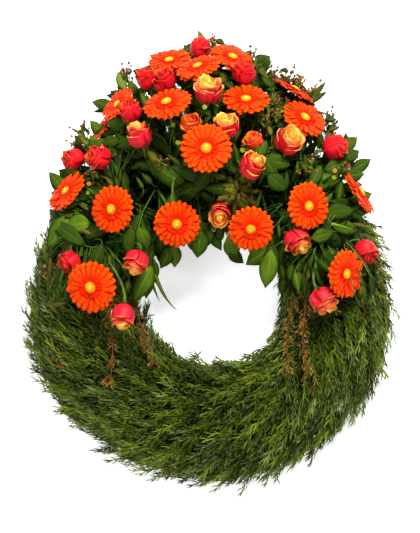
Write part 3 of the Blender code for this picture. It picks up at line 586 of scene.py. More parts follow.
def inside_outline(across, up):
    """Whether a place in the view lies within the spray's outline."""
    x = abs(across - OUTLINE_MIDDLE[0]) / OUTLINE_SIZE[0]
    y = max(up - OUTLINE_MIDDLE[1], 0.0) / OUTLINE_SIZE[1]
    return x**OUTLINE_POWER + y**OUTLINE_POWER < 1.0


def leaf_tip(across, up, height, clearance):
    """The place of a leaf's tip: at its height in cm, or over the needles where those are higher."""
    tip, lowest = seen(across, up, height), over_conifer(across, up, clearance)
    return lowest if lowest.z > tip.z else tip


def pointing_out(across, up, turn):
    """The way from the spray's heart to a place in the view, turned aside by an angle in degrees."""
    away = RIGHT * (across - LEAF_HEART[0]) + RISE * (up - LEAF_HEART[1])
    return Matrix.Rotation(math.radians(turn), 3, TOWARDS) @ away.normalized()


def grown_leaf(rng, across, up, feet, room):
    """A leaf whose tip is seen near a place, or nothing where it would touch something."""
    across += rng.uniform(-2.6, 2.6)
    up += rng.uniform(-2.4, 2.4)
    tip = leaf_tip(across, up, leaf_height(across, up) - rng.uniform(0.5, 7.5), rng.uniform(0.008, 0.020))
    away = pointing_out(across, up, rng.uniform(-40, 40))
    normal = (TOWARDS + away * rng.uniform(0.0, 0.8) + RISE.cross(away) * rng.uniform(-0.4, 0.4)).normalized()
    out = (away - normal * away.dot(normal)).normalized()
    side = normal.cross(out)
    length = rng.uniform(*LEAF_BLADES)
    half = min(rng.uniform(*LEAF_HALF_WIDTHS), length * 0.24)
    begin = tip - out * length
    angle, offset = round_ring(tip)
    if not inside_outline(across, up) or offset < -0.104:
        return None
    block = block_at(angle)
    aside = Vector((rng.uniform(-1, 1), rng.uniform(-1, 1), 0.0)) * 0.04
    root = bed_root(begin + aside, block, feet)
    stalk = begin - root
    if stalk.length < 0.012 or stalk.z < 0 or stalk.dot(out) < -0.3 * stalk.length:
        return None
    if abs(stalk.dot(side)) > 0.8 * stalk.length:
        return None
    bow = normal * length
    points = [root, begin, begin.lerp(tip, 0.36) + bow * 0.06, begin.lerp(tip, 0.72) + bow * 0.05, tip]
    probes = [root.lerp(begin, s / 12) for s in range(4, 13)]
    for i, share, width in LEAF_PROBES:
        middle = points[i].lerp(points[i + 1], share)
        probes += [middle + side * half * width * k for k in (-1.0, -0.5, 0.0, 0.5, 1.0)]
    if not all(room.clear(probe, 0.0045, block, feet[block][2]) for probe in probes):
        return None
    return block, points, side, half


def back_leaf(angle, reach, height, half, foot):
    """The line and the crosswise direction of a leaf that hangs out behind the spray."""
    root = on_ring(angle, 0.024, foot + ROOT_DEPTH)
    begin = on_ring(angle, BACK_STALK_REACH, foot + 0.005)
    tip = on_ring(angle, reach, height)
    across = UP.cross(tip - begin).normalized()
    bow = (tip - begin).cross(across)
    points = [root, begin, begin.lerp(tip, 0.36) + bow * 0.10, begin.lerp(tip, 0.72) + bow * 0.09, tip]
    return points, across, half


def grow_leaves(feet, room):
    """Every large leaf of the spray: each spot of the grid tries a few until one lies clear."""
    rng = random.Random(7)
    kept = [("centre", *back_leaf(*entry, feet["centre"][2])) for entry in BACK_LEAVES]
    for row, column in product(range(14), range(-7, 8)):
        across, up = (column + 0.5 * (row % 2)) * LEAF_STEP[0], -6.0 + row * LEAF_STEP[1]
        grown = None
        for _ in range(LEAF_TRIES):
            grown = grown or grown_leaf(rng, across, up, feet, room)
        if grown:
            kept.append(grown)
    return kept


# ---- shapes and piles of shapes ----

class Shape:
    """Points and faces that are copied into a piece, with a place across and along for every corner."""

    def __init__(self, points, faces, uvs, shade=0.0):
        self.points = np.array(points, float)
        self.shades = np.full(len(self.points), shade)
        self.loops = np.array([k for face in faces for k in face], int)
        self.sizes = np.array([len(face) for face in faces], int)
        self.uvs = np.array([uv for face in uvs for uv in face], float)


def together(shapes):
    """Several shapes as one."""
    whole = Shape([], [], [])
    starts = np.cumsum([0] + [len(shape.points) for shape in shapes])
    whole.points = np.concatenate([shape.points for shape in shapes])
    whole.shades = np.concatenate([shape.shades for shape in shapes])
    whole.loops = np.concatenate([shape.loops + start for shape, start in zip(shapes, starts)])
    whole.sizes = np.concatenate([shape.sizes for shape in shapes])
    whole.uvs = np.concatenate([shape.uvs for shape in shapes])
    return whole


def shell(spots, thickness):
    """A thin closed sheet over a grid of spots, whose two sides meet along its rim."""
    spots = np.array(spots, float)
    rows, columns = spots.shape[:2]
    normal = np.cross(np.gradient(spots, axis=1), np.gradient(spots, axis=0))
    normal /= np.maximum(np.linalg.norm(normal, axis=2, keepdims=True), 1e-9)
    lift = normal * thickness / 2
    lift[0], lift[-1], lift[:, 0], lift[:, -1] = 0.0, 0.0, 0.0, 0.0
    over = np.arange(rows * columns).reshape(rows, columns)
    under = over.copy()
    under[1:-1, 1:-1] = rows * columns + np.arange((rows - 2) * (columns - 2)).reshape(rows - 2, columns - 2)
    points = np.concatenate([(spots + lift).reshape(-1, 3), (spots - lift)[1:-1, 1:-1].reshape(-1, 3)])
    faces, uvs = [], []
    for i, j in product(range(rows - 1), range(columns - 1)):
        corners = [(i, j), (i, j + 1), (i + 1, j + 1), (i + 1, j)]
        places = [(b / (columns - 1), a / (rows - 1)) for a, b in corners]
        faces += [[over[corner] for corner in corners], [under[corner] for corner in corners[::-1]]]
        uvs += [places, [(u + 2.0, v) for u, v in places[::-1]]]
    return Shape(points, faces, uvs)


def rod(line, radii, sides, shade=0.0):
    """A closed rod along a line, pointed at its far end."""
    line = as_points(line)
    ahead = np.gradient(line, axis=0)
    ahead /= np.maximum(np.linalg.norm(ahead, axis=1, keepdims=True), 1e-9)
    side = np.cross(ahead[0], (0.31, 0.17, 0.93))
    points, faces, uvs = [], [], []
    last = len(line) - 1
    for i in range(last):
        side = side - ahead[i] * side.dot(ahead[i])
        side /= np.linalg.norm(side)
        other = np.cross(ahead[i], side)
        for k in range(sides):
            turn = 2 * math.pi * k / sides
            points.append(line[i] + (side * math.cos(turn) + other * math.sin(turn)) * radii[i])
    points.append(line[last])
    for i, k in product(range(last), range(sides)):
        a, b = i * sides + k, i * sides + (k + 1) % sides
        u, v = k / sides, (k + 1) / sides
        if i < last - 1:
            faces.append((a, b, b + sides, a + sides))
            uvs.append(((u, i / last), (v, i / last), (v, (i + 1) / last), (u, (i + 1) / last)))
        else:
            faces.append((a, b, last * sides))
            uvs.append(((u, i / last), (v, i / last), (u, 1.0)))
    faces.append(tuple(range(sides))[::-1])
    uvs.append([(0.0, 0.0)] * sides)
    return Shape(points, faces, uvs, shade)


def as_points(line):
    """A line's points as rows of numbers."""
    return np.array([tuple(point) for point in line], float)


class Pile:
    """The copied shapes that one piece is gathered from."""

    def __init__(self):
        self.points, self.loops, self.sizes, self.uvs, self.tones, self.finishes = [], [], [], [], [], []
        self.names, self.count = [], 0

    def add(self, shape, turns=None, places=None, tones=0.5, finish="leaf_dark", floor=None):
        """Adds copies of a shape, each with its own turn, place and tone."""
        turns = np.eye(3)[None] if turns is None else np.array(turns, float).reshape(-1, 3, 3)
        places = np.zeros((len(turns), 3)) if places is None else np.array(places, float).reshape(-1, 3)
        copies, number = len(turns), len(shape.points)
        points = np.einsum("nj,kij->kni", shape.points, turns) + places[:, None, :]
        if floor is not None:
            points[..., 2] = np.maximum(points[..., 2], floor)
        if finish not in self.names:
            self.names.append(finish)
        starts = self.count + number * np.arange(copies)
        self.points.append(points.reshape(-1, 3))
        self.loops.append((shape.loops[None] + starts[:, None]).reshape(-1))
        self.sizes.append(np.tile(shape.sizes, copies))
        self.uvs.append(np.tile(shape.uvs, (copies, 1)))
        own = np.broadcast_to(np.array(tones, float), (copies,))
        self.tones.append((own[:, None] + shape.shades[None]).reshape(-1))
        self.finishes.append(np.full(copies * len(shape.sizes), self.names.index(finish)))
        self.count += copies * number

    def add_rod(self, line, radii, sides, tone, finish):
        """Adds one rod: a stem, a stalk or a twig."""
        self.add(rod(line, radii, sides), tones=tone, finish=finish)

    def piece(self, name, node, slot, smooth=True):
        """Turns the pile into one piece that stands for the solid of a node."""
        mesh = bpy.data.meshes.new(name)
        points, loops, sizes = (np.concatenate(part) for part in (self.points, self.loops, self.sizes))
        finishes, uvs, tones = (np.concatenate(part) for part in (self.finishes, self.uvs, self.tones))
        mesh.vertices.add(len(points))
        mesh.vertices.foreach_set("co", points.astype(np.float32).ravel())
        mesh.loops.add(len(loops))
        mesh.loops.foreach_set("vertex_index", loops.astype(np.int32))
        mesh.polygons.add(len(sizes))
        mesh.polygons.foreach_set("loop_start", (np.cumsum(sizes) - sizes).astype(np.int32))
        mesh.polygons.foreach_set("material_index", finishes.astype(np.int32))
        mesh.polygons.foreach_set("use_smooth", np.full(len(sizes), smooth))
        mesh.uv_layers.new(name="growth").data.foreach_set("uv", uvs.astype(np.float32).ravel())
        tone = mesh.attributes.new("tone", "FLOAT", "POINT")
        tone.data.foreach_set("value", tones.astype(np.float32))
        mesh.update(calc_edges=True)
        mesh.validate()
        for finish in self.names:
            mesh.materials.append(FINISHES[finish])
        made = bpy.data.objects.new(name, mesh)
        bpy.context.scene.collection.objects.link(made)
        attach(made, "root")
        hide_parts(node)


def frame_of(normal, ahead):
    """The turn whose columns are side, ahead and normal."""
    normal = np.array(normal, float)
    normal /= np.linalg.norm(normal)
    ahead = np.array(ahead, float)
    ahead = ahead - normal * ahead.dot(normal)
    ahead /= np.linalg.norm(ahead)
    return np.stack([np.cross(ahead, normal), ahead, normal], axis=1)


# ---- finishes ----

def colour(*values):
    """A colour without transparency."""
    return (*values, 1.0)


def group_of(name, inputs, outputs):
    """An empty shader group with its named sockets, what it is given, and its output node."""
    tree = bpy.data.node_groups.new(name, "ShaderNodeTree")
    for label, value in inputs.items():
        kind = "NodeSocketFloat" if isinstance(value, float) else "NodeSocketColor"
        tree.interface.new_socket(name=label, in_out="INPUT", socket_type=kind).default_value = value
    for label, kind in outputs.items():
        tree.interface.new_socket(name=label, in_out="OUTPUT", socket_type=kind)
    return tree, tree.nodes.new("NodeGroupInput").outputs, tree.nodes.new("NodeGroupOutput")


def feed(tree, node, inputs):
    """Links or sets a node's inputs, by their names or numbers."""
    for key, value in inputs.items():
        if isinstance(value, bpy.types.NodeSocket):
            tree.links.new(value, node.inputs[key])
        else:
            node.inputs[key].default_value = value
    return node.outputs


def math_node(tree, operation, *values):
    """A Math node's value."""
    node = tree.nodes.new("ShaderNodeMath")
    node.operation = operation
    return feed(tree, node, dict(enumerate(values)))[0]


def times(tree, first, second):
    """The product of two values."""
    return math_node(tree, "MULTIPLY", first, second)


def mix_node(tree, factor, first, second, blend="MIX"):
    """A Mix node's colour."""
    node = tree.nodes.new("ShaderNodeMix")
    node.data_type = "RGBA"
    node.blend_type = blend
    return feed(tree, node, {0: factor, 6: first, 7: second})[2]


def shaded(tree, share, base, by):
    """A share of a colour, multiplied by another one."""
    return mix_node(tree, share, base, mix_node(tree, 1.0, base, colour(*by), "MULTIPLY"))


def ranged(tree, value, low, high, start=0.0, end=1.0):
    """A Map Range node's value, clamped."""
    return feed(tree, tree.nodes.new("ShaderNodeMapRange"), {0: value, 1: low, 2: high, 3: start, 4: end})[0]


def noise_node(tree, vector, scale, detail=2.0):
    """A Noise texture's value at a vector."""
    node = tree.nodes.new("ShaderNodeTexNoise")
    return feed(tree, node, {"Vector": vector, "Scale": scale, "Detail": detail})[0]


def object_place(tree):
    """The place of a point on its own object."""
    return tree.nodes.new("ShaderNodeTexCoord").outputs["Object"]


def group_in(tree, group, inputs):
    """What a shader group gives in a finish."""
    node = tree.nodes.new("ShaderNodeGroup")
    node.node_tree = group
    return feed(tree, node, inputs)


def growth_group():
    """Colour of what grows: from dark to light by its tone and patches, and a tip colour along its length."""
    green = colour(0.07, 0.12, 0.02)
    tree, given, out = group_of("growth_colour", {
        "Tone": 0.5, "Along": 0.5, "Dark": green, "Middle": green, "Light": green, "Tip": green,
        "Tip Start": 0.6, "Patch Scale": 60.0,
    }, {"Colour": "NodeSocketColor", "Patches": "NodeSocketFloat"})
    patches = noise_node(tree, object_place(tree), given["Patch Scale"])
    tone = math_node(tree, "ADD", given["Tone"], ranged(tree, patches, 0.25, 0.75, -0.28, 0.28))
    low = mix_node(tree, ranged(tree, tone, 0.0, 0.5), given["Dark"], given["Middle"])
    high = mix_node(tree, ranged(tree, tone, 0.5, 1.0), low, given["Light"])
    past = math_node(tree, "SUBTRACT", given["Along"], given["Tip Start"])
    tip = mix_node(tree, ranged(tree, past, 0.0, 0.5), high, given["Tip"])
    feed(tree, out, {"Colour": tip, "Patches": patches})
    return tree


def vein_group():
    """Midrib and side veins of a leaf or the fine ribs of a petal, from its place across and along."""
    value = "NodeSocketFloat"
    tree, given, out = group_of(
        "veins", {"Across": 0.5, "Along": 0.5, "Side Veins": 9.0, "Ribs": 0.0},
        {"Midrib": value, "Veins": value, "Height": value},
    )
    folded = math_node(tree, "MODULO", given["Across"], 2.0)
    off = math_node(tree, "ABSOLUTE", math_node(tree, "SUBTRACT", folded, 0.5))
    midrib = ranged(tree, off, 0.03, 0.075, 1.0, 0.0)
    slant = math_node(tree, "SUBTRACT", given["Along"], times(tree, off, 0.45))
    phase = times(tree, times(tree, slant, given["Side Veins"]), FULL_TURN)
    ribs = times(tree, times(tree, folded, given["Ribs"]), FULL_TURN)
    veins = ranged(tree, math_node(tree, "SINE", math_node(tree, "ADD", phase, ribs)), 0.72, 1.0)
    height = math_node(tree, "ADD", midrib, times(tree, veins, 0.45))
    feed(tree, out, {"Midrib": midrib, "Veins": veins, "Height": height})
    return tree


GROWTH = growth_group()
VEINS = vein_group()


def new_finish(name, roughness, specular, tint=(1.0, 1.0, 1.0)):
    """An empty finish: its node tree and shader, with the values that are the same all over."""
    made = bpy.data.materials.new(name)
    made.use_nodes = True
    shader = made.node_tree.nodes["Principled BSDF"]
    feed(made.node_tree, shader, {
        "Roughness": roughness, "Specular IOR Level": specular, "Specular Tint": colour(*tint),
    })
    return made, made.node_tree, shader


def tone_of(tree):
    """A piece's own tone."""
    node = tree.nodes.new("ShaderNodeAttribute")
    node.attribute_name = "tone"
    return node.outputs["Fac"]


def corner_place(tree):
    """A piece's places across and along."""
    node = tree.nodes.new("ShaderNodeUVMap")
    node.uv_map = "growth"
    return feed(tree, tree.nodes.new("ShaderNodeSeparateXYZ"), {0: node.outputs[0]})[:2]


def growth_in(tree, along, colours, tip_start, patch_scale):
    """The growth colour group in a finish, with the finish's own values."""
    return group_in(tree, GROWTH, {
        "Tone": tone_of(tree), "Along": along, "Tip Start": tip_start, "Patch Scale": patch_scale,
        **{label: colour(*value) for label, value in zip(("Dark", "Middle", "Light", "Tip"), colours)},
    })


def veins_in(tree, across, along, side_veins, ribs):
    """The vein group in a finish."""
    return group_in(tree, VEINS, {"Across": across, "Along": along, "Side Veins": side_veins, "Ribs": ribs})


def bump_in(tree, shader, height, strength, distance):
    """A Bump node that feeds the shader's normal."""
    node = tree.nodes.new("ShaderNodeBump")
    bump = feed(tree, node, {"Strength": strength, "Distance": distance, "Height": height})[0]
    feed(tree, shader, {"Normal": bump})


def growth_finish(name, colours, tip_start, patch_scale, roughness, specular):
    """A finish of needles, stems, seeds and buds: tone, patches and tips, with a fine grain."""
    made, tree, shader = new_finish(name, roughness, specular, (1.0, 1.0, 0.6))
    _, along = corner_place(tree)
    growth = growth_in(tree, along, colours, tip_start, patch_scale)
    feed(tree, shader, {"Base Color": growth["Colour"]})
    bump_in(tree, shader, noise_node(tree, object_place(tree), 1400.0, 1.0), 0.35, 0.0006)
    return made


def leaf_finish(name, colours, vein, roughness):
    """A finish of leaves: glossy green with paler veins and a duller, paler underside."""
    made, tree, shader = new_finish(name, roughness, 0.11, (0.80, 1.0, 0.40))
    across, along = corner_place(tree)
    growth = growth_in(tree, along, colours, 0.75, 38.0)
    veins = veins_in(tree, across, along, 9.0, 0.0)
    lined = mix_node(tree, times(tree, veins["Midrib"], 0.60), growth["Colour"], colour(*vein))
    lined = mix_node(tree, times(tree, veins["Veins"], 0.20), lined, colour(*vein))
    under = ranged(tree, across, *OTHER_SIDE)
    pale = mix_node(tree, times(tree, under, 0.45), lined, colour(0.040, 0.080, 0.008))
    rough = math_node(tree, "ADD", ranged(tree, growth["Patches"], 0.3, 0.7, -0.06, 0.10), roughness)
    rough = math_node(tree, "ADD", rough, times(tree, under, 0.2))
    feed(tree, shader, {"Base Color": pale, "Roughness": rough})
    bump_in(tree, shader, veins["Height"], 0.4, 0.0008)
    return made


def petal_finish(name, base, middle, tip, under, ribs):
    """A finish of petals: ribbed, with its own colour at the base, along the middle, at the tip and below."""
    made, tree, shader = new_finish(name, 0.55, 0.08, (1.0, 0.6, 0.4))
    across, along = corner_place(tree)
    ends = mix_node(tree, ranged(tree, along, 0.20, 0.50), colour(*base), colour(*middle))
    ends = mix_node(tree, ranged(tree, along, 0.72, 1.0), ends, colour(*tip))
    dim = shaded(tree, ranged(tree, tone_of(tree), 0.0, 1.0, 0.20, 0.0), ends, (0.85, 0.55, 0.45))
    below = mix_node(tree, ranged(tree, across, *OTHER_SIDE), dim, colour(*under))
    veins = veins_in(tree, across, along, 0.0, ribs)
    lined = shaded(tree, times(tree, veins["Veins"], 0.16), below, (0.7, 0.5, 0.5))
    mottle = ranged(tree, noise_node(tree, object_place(tree), 220.0), 0.4, 0.75, 0.0, 0.14)
    feed(tree, shader, {"Base Color": shaded(tree, mottle, lined, (1.0, 1.45, 1.0))})
    bump_in(tree, shader, veins["Height"], 0.25, 0.0006)
    return made


def rose_finish(name, outside, rim, inside, heart, fade=0.72, painted_glow=0.0):
    """A finish of rose petals: outside to rim, heart to inside, and a painted glow, an emission that stands in for
    light through the petals and lifts their shaded hearts.
    """
    made, tree, shader = new_finish(name, 0.48, 0.25, (1.0, 0.8, 0.75))
    across, along = corner_place(tree)
    cloud = ranged(tree, noise_node(tree, object_place(tree), 70.0, 3.0), 0.3, 0.7, -0.07, 0.07)
    shifted = math_node(tree, "ADD", along, cloud)
    out = mix_node(tree, ranged(tree, shifted, fade, 1.0, 0.0, 0.9), colour(*outside), colour(*rim))
    out = shaded(tree, ranged(tree, tone_of(tree), 0.0, 1.0, 0.45, 0.0), out, (0.62, 0.35, 0.75))
    deep = mix_node(tree, ranged(tree, shifted, 0.35, 0.95), colour(*heart), colour(*inside))
    both = mix_node(tree, ranged(tree, across, *OTHER_SIDE), out, deep)
    # The emission is a painted glow, not a lamp: it brightens the shaded heart petals
    feed(tree, shader, {"Base Color": both, "Emission Color": both, "Emission Strength": painted_glow})
    bump_in(tree, shader, veins_in(tree, across, along, 0.0, 9.0)["Veins"], 0.10, 0.0004)
    return made


def ring_place_group():
    """Where a point of the straw lies: along the ring, out from its line and up, as a pattern's own place."""
    tree, given, out = group_of("round_the_ring", {"Stretch": 1.0}, {"Place": "NodeSocketVector"})
    split = feed(tree, tree.nodes.new("ShaderNodeSeparateXYZ"), {0: object_place(tree)})
    x = math_node(tree, "SUBTRACT", split[0], RING_CENTRE.x)
    y = math_node(tree, "SUBTRACT", split[1], RING_CENTRE.y)
    turn = times(tree, math_node(tree, "ARCTAN2", y, x), given["Stretch"])
    radius = math_node(tree, "SQRT", math_node(tree, "ADD", times(tree, x, x), times(tree, y, y)))
    join = feed(tree, tree.nodes.new("ShaderNodeCombineXYZ"), {0: turn, 1: radius, 2: split[2]})
    feed(tree, out, {"Place": join[0]})
    return tree


def straw_finish():
    """Bound straw: long pale and brown stalks that run round the ring."""
    made, tree, shader = new_finish("straw", 0.75, 0.3)
    place = group_in(tree, ring_place_group(), {"Stretch": 0.020})[0]
    stalks = noise_node(tree, place, 420.0, 3.0)
    base = mix_node(tree, ranged(tree, stalks, 0.3, 0.7), colour(0.22, 0.13, 0.045), colour(0.72, 0.52, 0.22))
    shade = ranged(tree, noise_node(tree, place, 130.0), 0.4, 0.7, 0.0, 0.5)
    feed(tree, shader, {"Base Color": mix_node(tree, shade, base, colour(0.50, 0.40, 0.16))})
    bump_in(tree, shader, stalks, 0.8, 0.003)
    return made


def foam_finish():
    """Wet flower foam: dull green with fine pits, painted darker inside as shade."""
    made, tree, shader = new_finish("foam", 0.95, 0.2)
    place = object_place(tree)
    pits = feed(tree, tree.nodes.new("ShaderNodeTexVoronoi"), {"Scale": 900.0, "Vector": place})[0]
    cloud = ranged(tree, noise_node(tree, place, 60.0, 3.0), 0.3, 0.7)
    base = mix_node(tree, cloud, colour(0.018, 0.05, 0.022), colour(0.03, 0.08, 0.035))
    # Painted shade: the pits are darker inside
    shaded_pits = mix_node(tree, ranged(tree, pits, 0.0, 0.35, 0.5, 0.0), base, colour(0.01, 0.03, 0.012))
    feed(tree, shader, {"Base Color": shaded_pits})
    bump_in(tree, shader, pits, 0.5, 0.001)
    return made


# Needles, stems, seeds and buds, and the near-black core that is painted shade deep among the needles and under the
# leaves:
# colours in the dark, the middle, the light and at the tips, where the tip begins, the scale of the patches,
# roughness and shine
GROWTH_LOOKS = {
    "needles": (
        ((0.003, 0.007, 0.001), (0.032, 0.060, 0.004), (0.175, 0.245, 0.014), (0.32, 0.39, 0.045)),
        0.62, 28.0, 0.5, 0.15),
    "needles_blue": (
        ((0.003, 0.008, 0.002), (0.034, 0.066, 0.010), (0.175, 0.255, 0.045), (0.32, 0.40, 0.11)),
        0.62, 28.0, 0.5, 0.15),
    "needles_brown": (
        ((0.04, 0.015, 0.003), (0.14, 0.055, 0.010), (0.26, 0.12, 0.025), (0.36, 0.19, 0.045)),
        0.7, 60.0, 0.65, 0.15),
    # The core's near-black colours are painted shade deep among the needles and under the leaves
    "conifer_core": (
        ((0.001, 0.003, 0.001), (0.004, 0.008, 0.002), (0.010, 0.016, 0.004), (0.01, 0.02, 0.004)),
        0.9, 160.0, 0.9, 0.05),
    "stems": (
        ((0.015, 0.045, 0.003), (0.055, 0.13, 0.010), (0.13, 0.26, 0.025), (0.13, 0.26, 0.025)),
        0.9, 90.0, 0.45, 0.3),
    "twigs": (
        ((0.04, 0.016, 0.005), (0.11, 0.045, 0.012), (0.22, 0.10, 0.028), (0.22, 0.11, 0.03)),
        0.9, 120.0, 0.7, 0.15),
    "seeds": (
        ((0.07, 0.024, 0.004), (0.24, 0.090, 0.018), (0.48, 0.23, 0.055), (0.58, 0.32, 0.10)),
        0.6, 160.0, 0.7, 0.15),
    "berries": (
        ((0.07, 0.016, 0.004), (0.25, 0.070, 0.014), (0.42, 0.16, 0.035), (0.22, 0.06, 0.02)),
        0.7, 160.0, 0.4, 0.4),
    "bud_green": (
        ((0.18, 0.25, 0.01), (0.42, 0.54, 0.02), (0.70, 0.80, 0.06), (0.74, 0.80, 0.08)),
        0.6, 200.0, 0.55, 0.25),
    "bud_peach": (
        ((0.60, 0.16, 0.03), (0.85, 0.32, 0.07), (0.95, 0.48, 0.14), (0.95, 0.55, 0.2)),
        0.6, 200.0, 0.5, 0.25),
    "gerbera_eye": (
        ((0.36, 0.38, 0.01), (0.68, 0.64, 0.03), (0.88, 0.80, 0.09), (0.92, 0.82, 0.12)),
        0.5, 400.0, 0.6, 0.2),
}

# Leaves: the same four colours, that of their veins, and roughness
LEAF_LOOKS = {
    "leaf_dark": (
        ((0.001, 0.003, 0.001), (0.006, 0.015, 0.001), (0.028, 0.060, 0.001), (0.03, 0.06, 0.002)),
        (0.055, 0.10, 0.005), 0.32),
    "leaf_mid": (
        ((0.004, 0.012, 0.001), (0.026, 0.058, 0.001), (0.090, 0.155, 0.003), (0.085, 0.15, 0.004)),
        (0.13, 0.22, 0.012), 0.36),
    "leaf_bright": (
        ((0.012, 0.032, 0.001), (0.060, 0.125, 0.002), (0.155, 0.260, 0.008), (0.15, 0.25, 0.01)),
        (0.22, 0.34, 0.035), 0.40),
    "leaf_pale": (
        ((0.03, 0.07, 0.005), (0.10, 0.20, 0.015), (0.24, 0.38, 0.045), (0.20, 0.32, 0.04)),
        (0.28, 0.40, 0.08), 0.4),
    "leaf_red": (
        ((0.035, 0.028, 0.003), (0.160, 0.115, 0.010), (0.30, 0.24, 0.026), (0.42, 0.075, 0.014)),
        (0.24, 0.09, 0.020), 0.42),
}

# Gerbera petals: base, middle, tip and underside, and their number of ribs
PETAL_LOOKS = {
    "gerbera_petals": ((0.93, 0.020, 0.001), (0.98, 0.050, 0.001), (1.0, 0.120, 0.003), (0.85, 0.10, 0.01), 5.0),
    "gerbera_inner": ((0.90, 0.012, 0.001), (0.95, 0.022, 0.001), (0.98, 0.036, 0.001), (0.85, 0.03, 0.004), 3.0),
    "gerbera_ring": ((0.75, 0.22, 0.005), (0.95, 0.52, 0.012), (1.0, 0.74, 0.05), (0.9, 0.45, 0.01), 2.0),
}

# Rose petals: outside, rim, inside and heart, where the rim's colour begins, and a painted glow that stands in for
# light through them
ROSE_LOOKS = {
    "rose_red": ((0.74, 0.006, 0.014), (0.84, 0.035, 0.018), (0.86, 0.075, 0.014), (0.88, 0.16, 0.018)),
    "rose_two": ((0.78, 0.012, 0.026), (0.97, 0.28, 0.06), (0.96, 0.36, 0.05), (0.97, 0.52, 0.08), 0.78),
    "rose_pale": ((0.78, 0.014, 0.022), (0.98, 0.40, 0.10), (0.96, 0.32, 0.07), (0.98, 0.50, 0.11), 0.70),
    "rose_orange": ((0.84, 0.040, 0.010), (0.97, 0.20, 0.020), (0.96, 0.15, 0.015), (0.98, 0.34, 0.035), 0.60),
    "rose_heart": ((0.97, 0.30, 0.040), (1.0, 0.60, 0.10), (1.0, 0.52, 0.065), (1.0, 0.57, 0.075), 0.35, 0.16),
}

FINISHES = {
    name: make(name, *look)
    for make, looks in (
        (growth_finish, GROWTH_LOOKS), (leaf_finish, LEAF_LOOKS), (petal_finish, PETAL_LOOKS),
        (rose_finish, ROSE_LOOKS),
    )
    for name, look in looks.items()
}


# ---- conifer ----

def sprig(rng):
    """One conifer sprig along +Y: a bent stem, with slim forked branchlets swept along it."""
    length = 0.052
    bend = rng.uniform(-0.005, 0.005), rng.uniform(-0.001, 0.005)

    def stem(share):
        return np.array([bend[0] * share * share * 2, length * share, bend[1] * share * share * 2])

    parts = [rod([stem(s) for s in (0.0, 0.5, 1.0)], (0.0011, 0.0010), 3, -0.25)]
    for k in range(14):
        share = 0.08 + 0.90 * k / 13
        turn = 2.4 * k + rng.uniform(-0.5, 0.5)
        side = np.array([math.cos(turn), 0.0, math.sin(turn)])
        reach = rng.uniform(0.014, 0.024) * (1.0 - 0.20 * share)
        spread = rng.uniform(0.30, 0.80)
        root = stem(share)
        way = np.array([0.0, math.cos(spread), 0.0]) + side * math.sin(spread)
        curl = np.array([0.0, 0.12, 0.0]) * reach - side * reach * 0.06
        middle = root + way * reach * 0.5
        tip = root + way * reach + curl
        thick = rng.uniform(0.0010, 0.0014)
        # Painted light: branchlets that turn out from the core are lighter and those that turn in are darker,
        # beside a random tone and a lighter tone further along
        shade = 0.20 * side[2] + rng.uniform(-0.20, 0.20) + 0.20 * (share - 0.5)
        parts.append(rod([root, middle, tip], (thick * 0.8, thick), 3, shade))
        if k % 2 == 0:
            fork = root + way * reach * 0.40
            aside = way + np.cross(way, side) * rng.choice([-0.6, 0.6])
            parts.append(rod([fork, fork + aside * reach * 0.50], (thick * 0.85,), 3, shade + 0.08))
    return together(parts)


def swept(profile, first, last, steps):
    """A closed body that follows the ring, of one cross-section given as offsets and heights."""
    count = len(profile)
    points = [
        tuple(on_ring(first + (last - first) * j / steps, offset, height))
        for j in range(steps + 1) for offset, height in profile
    ]
    faces = [
        (j * count + i, (j + 1) * count + i, (j + 1) * count + (i + 1) % count, j * count + (i + 1) % count)
        for j in range(steps) for i in range(count)
    ]
    faces += [tuple(range(count)), tuple(range(steps * count, (steps + 1) * count))[::-1]]
    return Shape(points, faces, [[(0.5, 0.5)] * len(face) for face in faces])


def arch_spot(share, outer, inner, height):
    """Offset and height on a half ellipse over the straw, and the direction straight out of it."""
    turn = math.pi * share
    half_width = outer if share < 0.5 else inner
    offset, rise = half_width * math.cos(turn), CONIFER_FOOT + (height - CONIFER_FOOT) * math.sin(turn)
    out = np.array([math.cos(turn) / half_width, math.sin(turn) / (height - CONIFER_FOOT)])
    return offset, rise, out / np.linalg.norm(out)


def open_shelf(angle):
    """Whether the conifer shelf is bare of foam at an angle round the ring."""
    return not any(first - 1.0 < angle < last + 1.0 for first, last in FOAM_ENDS.values())


def conifer_core(first, last, shelf):
    """The near-black core of one bound length, painted shade deep among the needles, open below where it lies on
    the straw.
    """
    height = 0.080 if shelf else 0.098
    outside = [arch_spot(i / 10, 0.080, 0.074, 0.098)[:2] for i in range(11)]
    outside = [(offset, min(rise, height)) for offset, rise in outside]
    lining = [(-0.0535, 0.008), (-0.040, 0.050), (-0.014, 0.0623)]
    lining += [(-offset, rise) for offset, rise in lining[::-1]]
    return swept(outside + lining, first, last, 8)


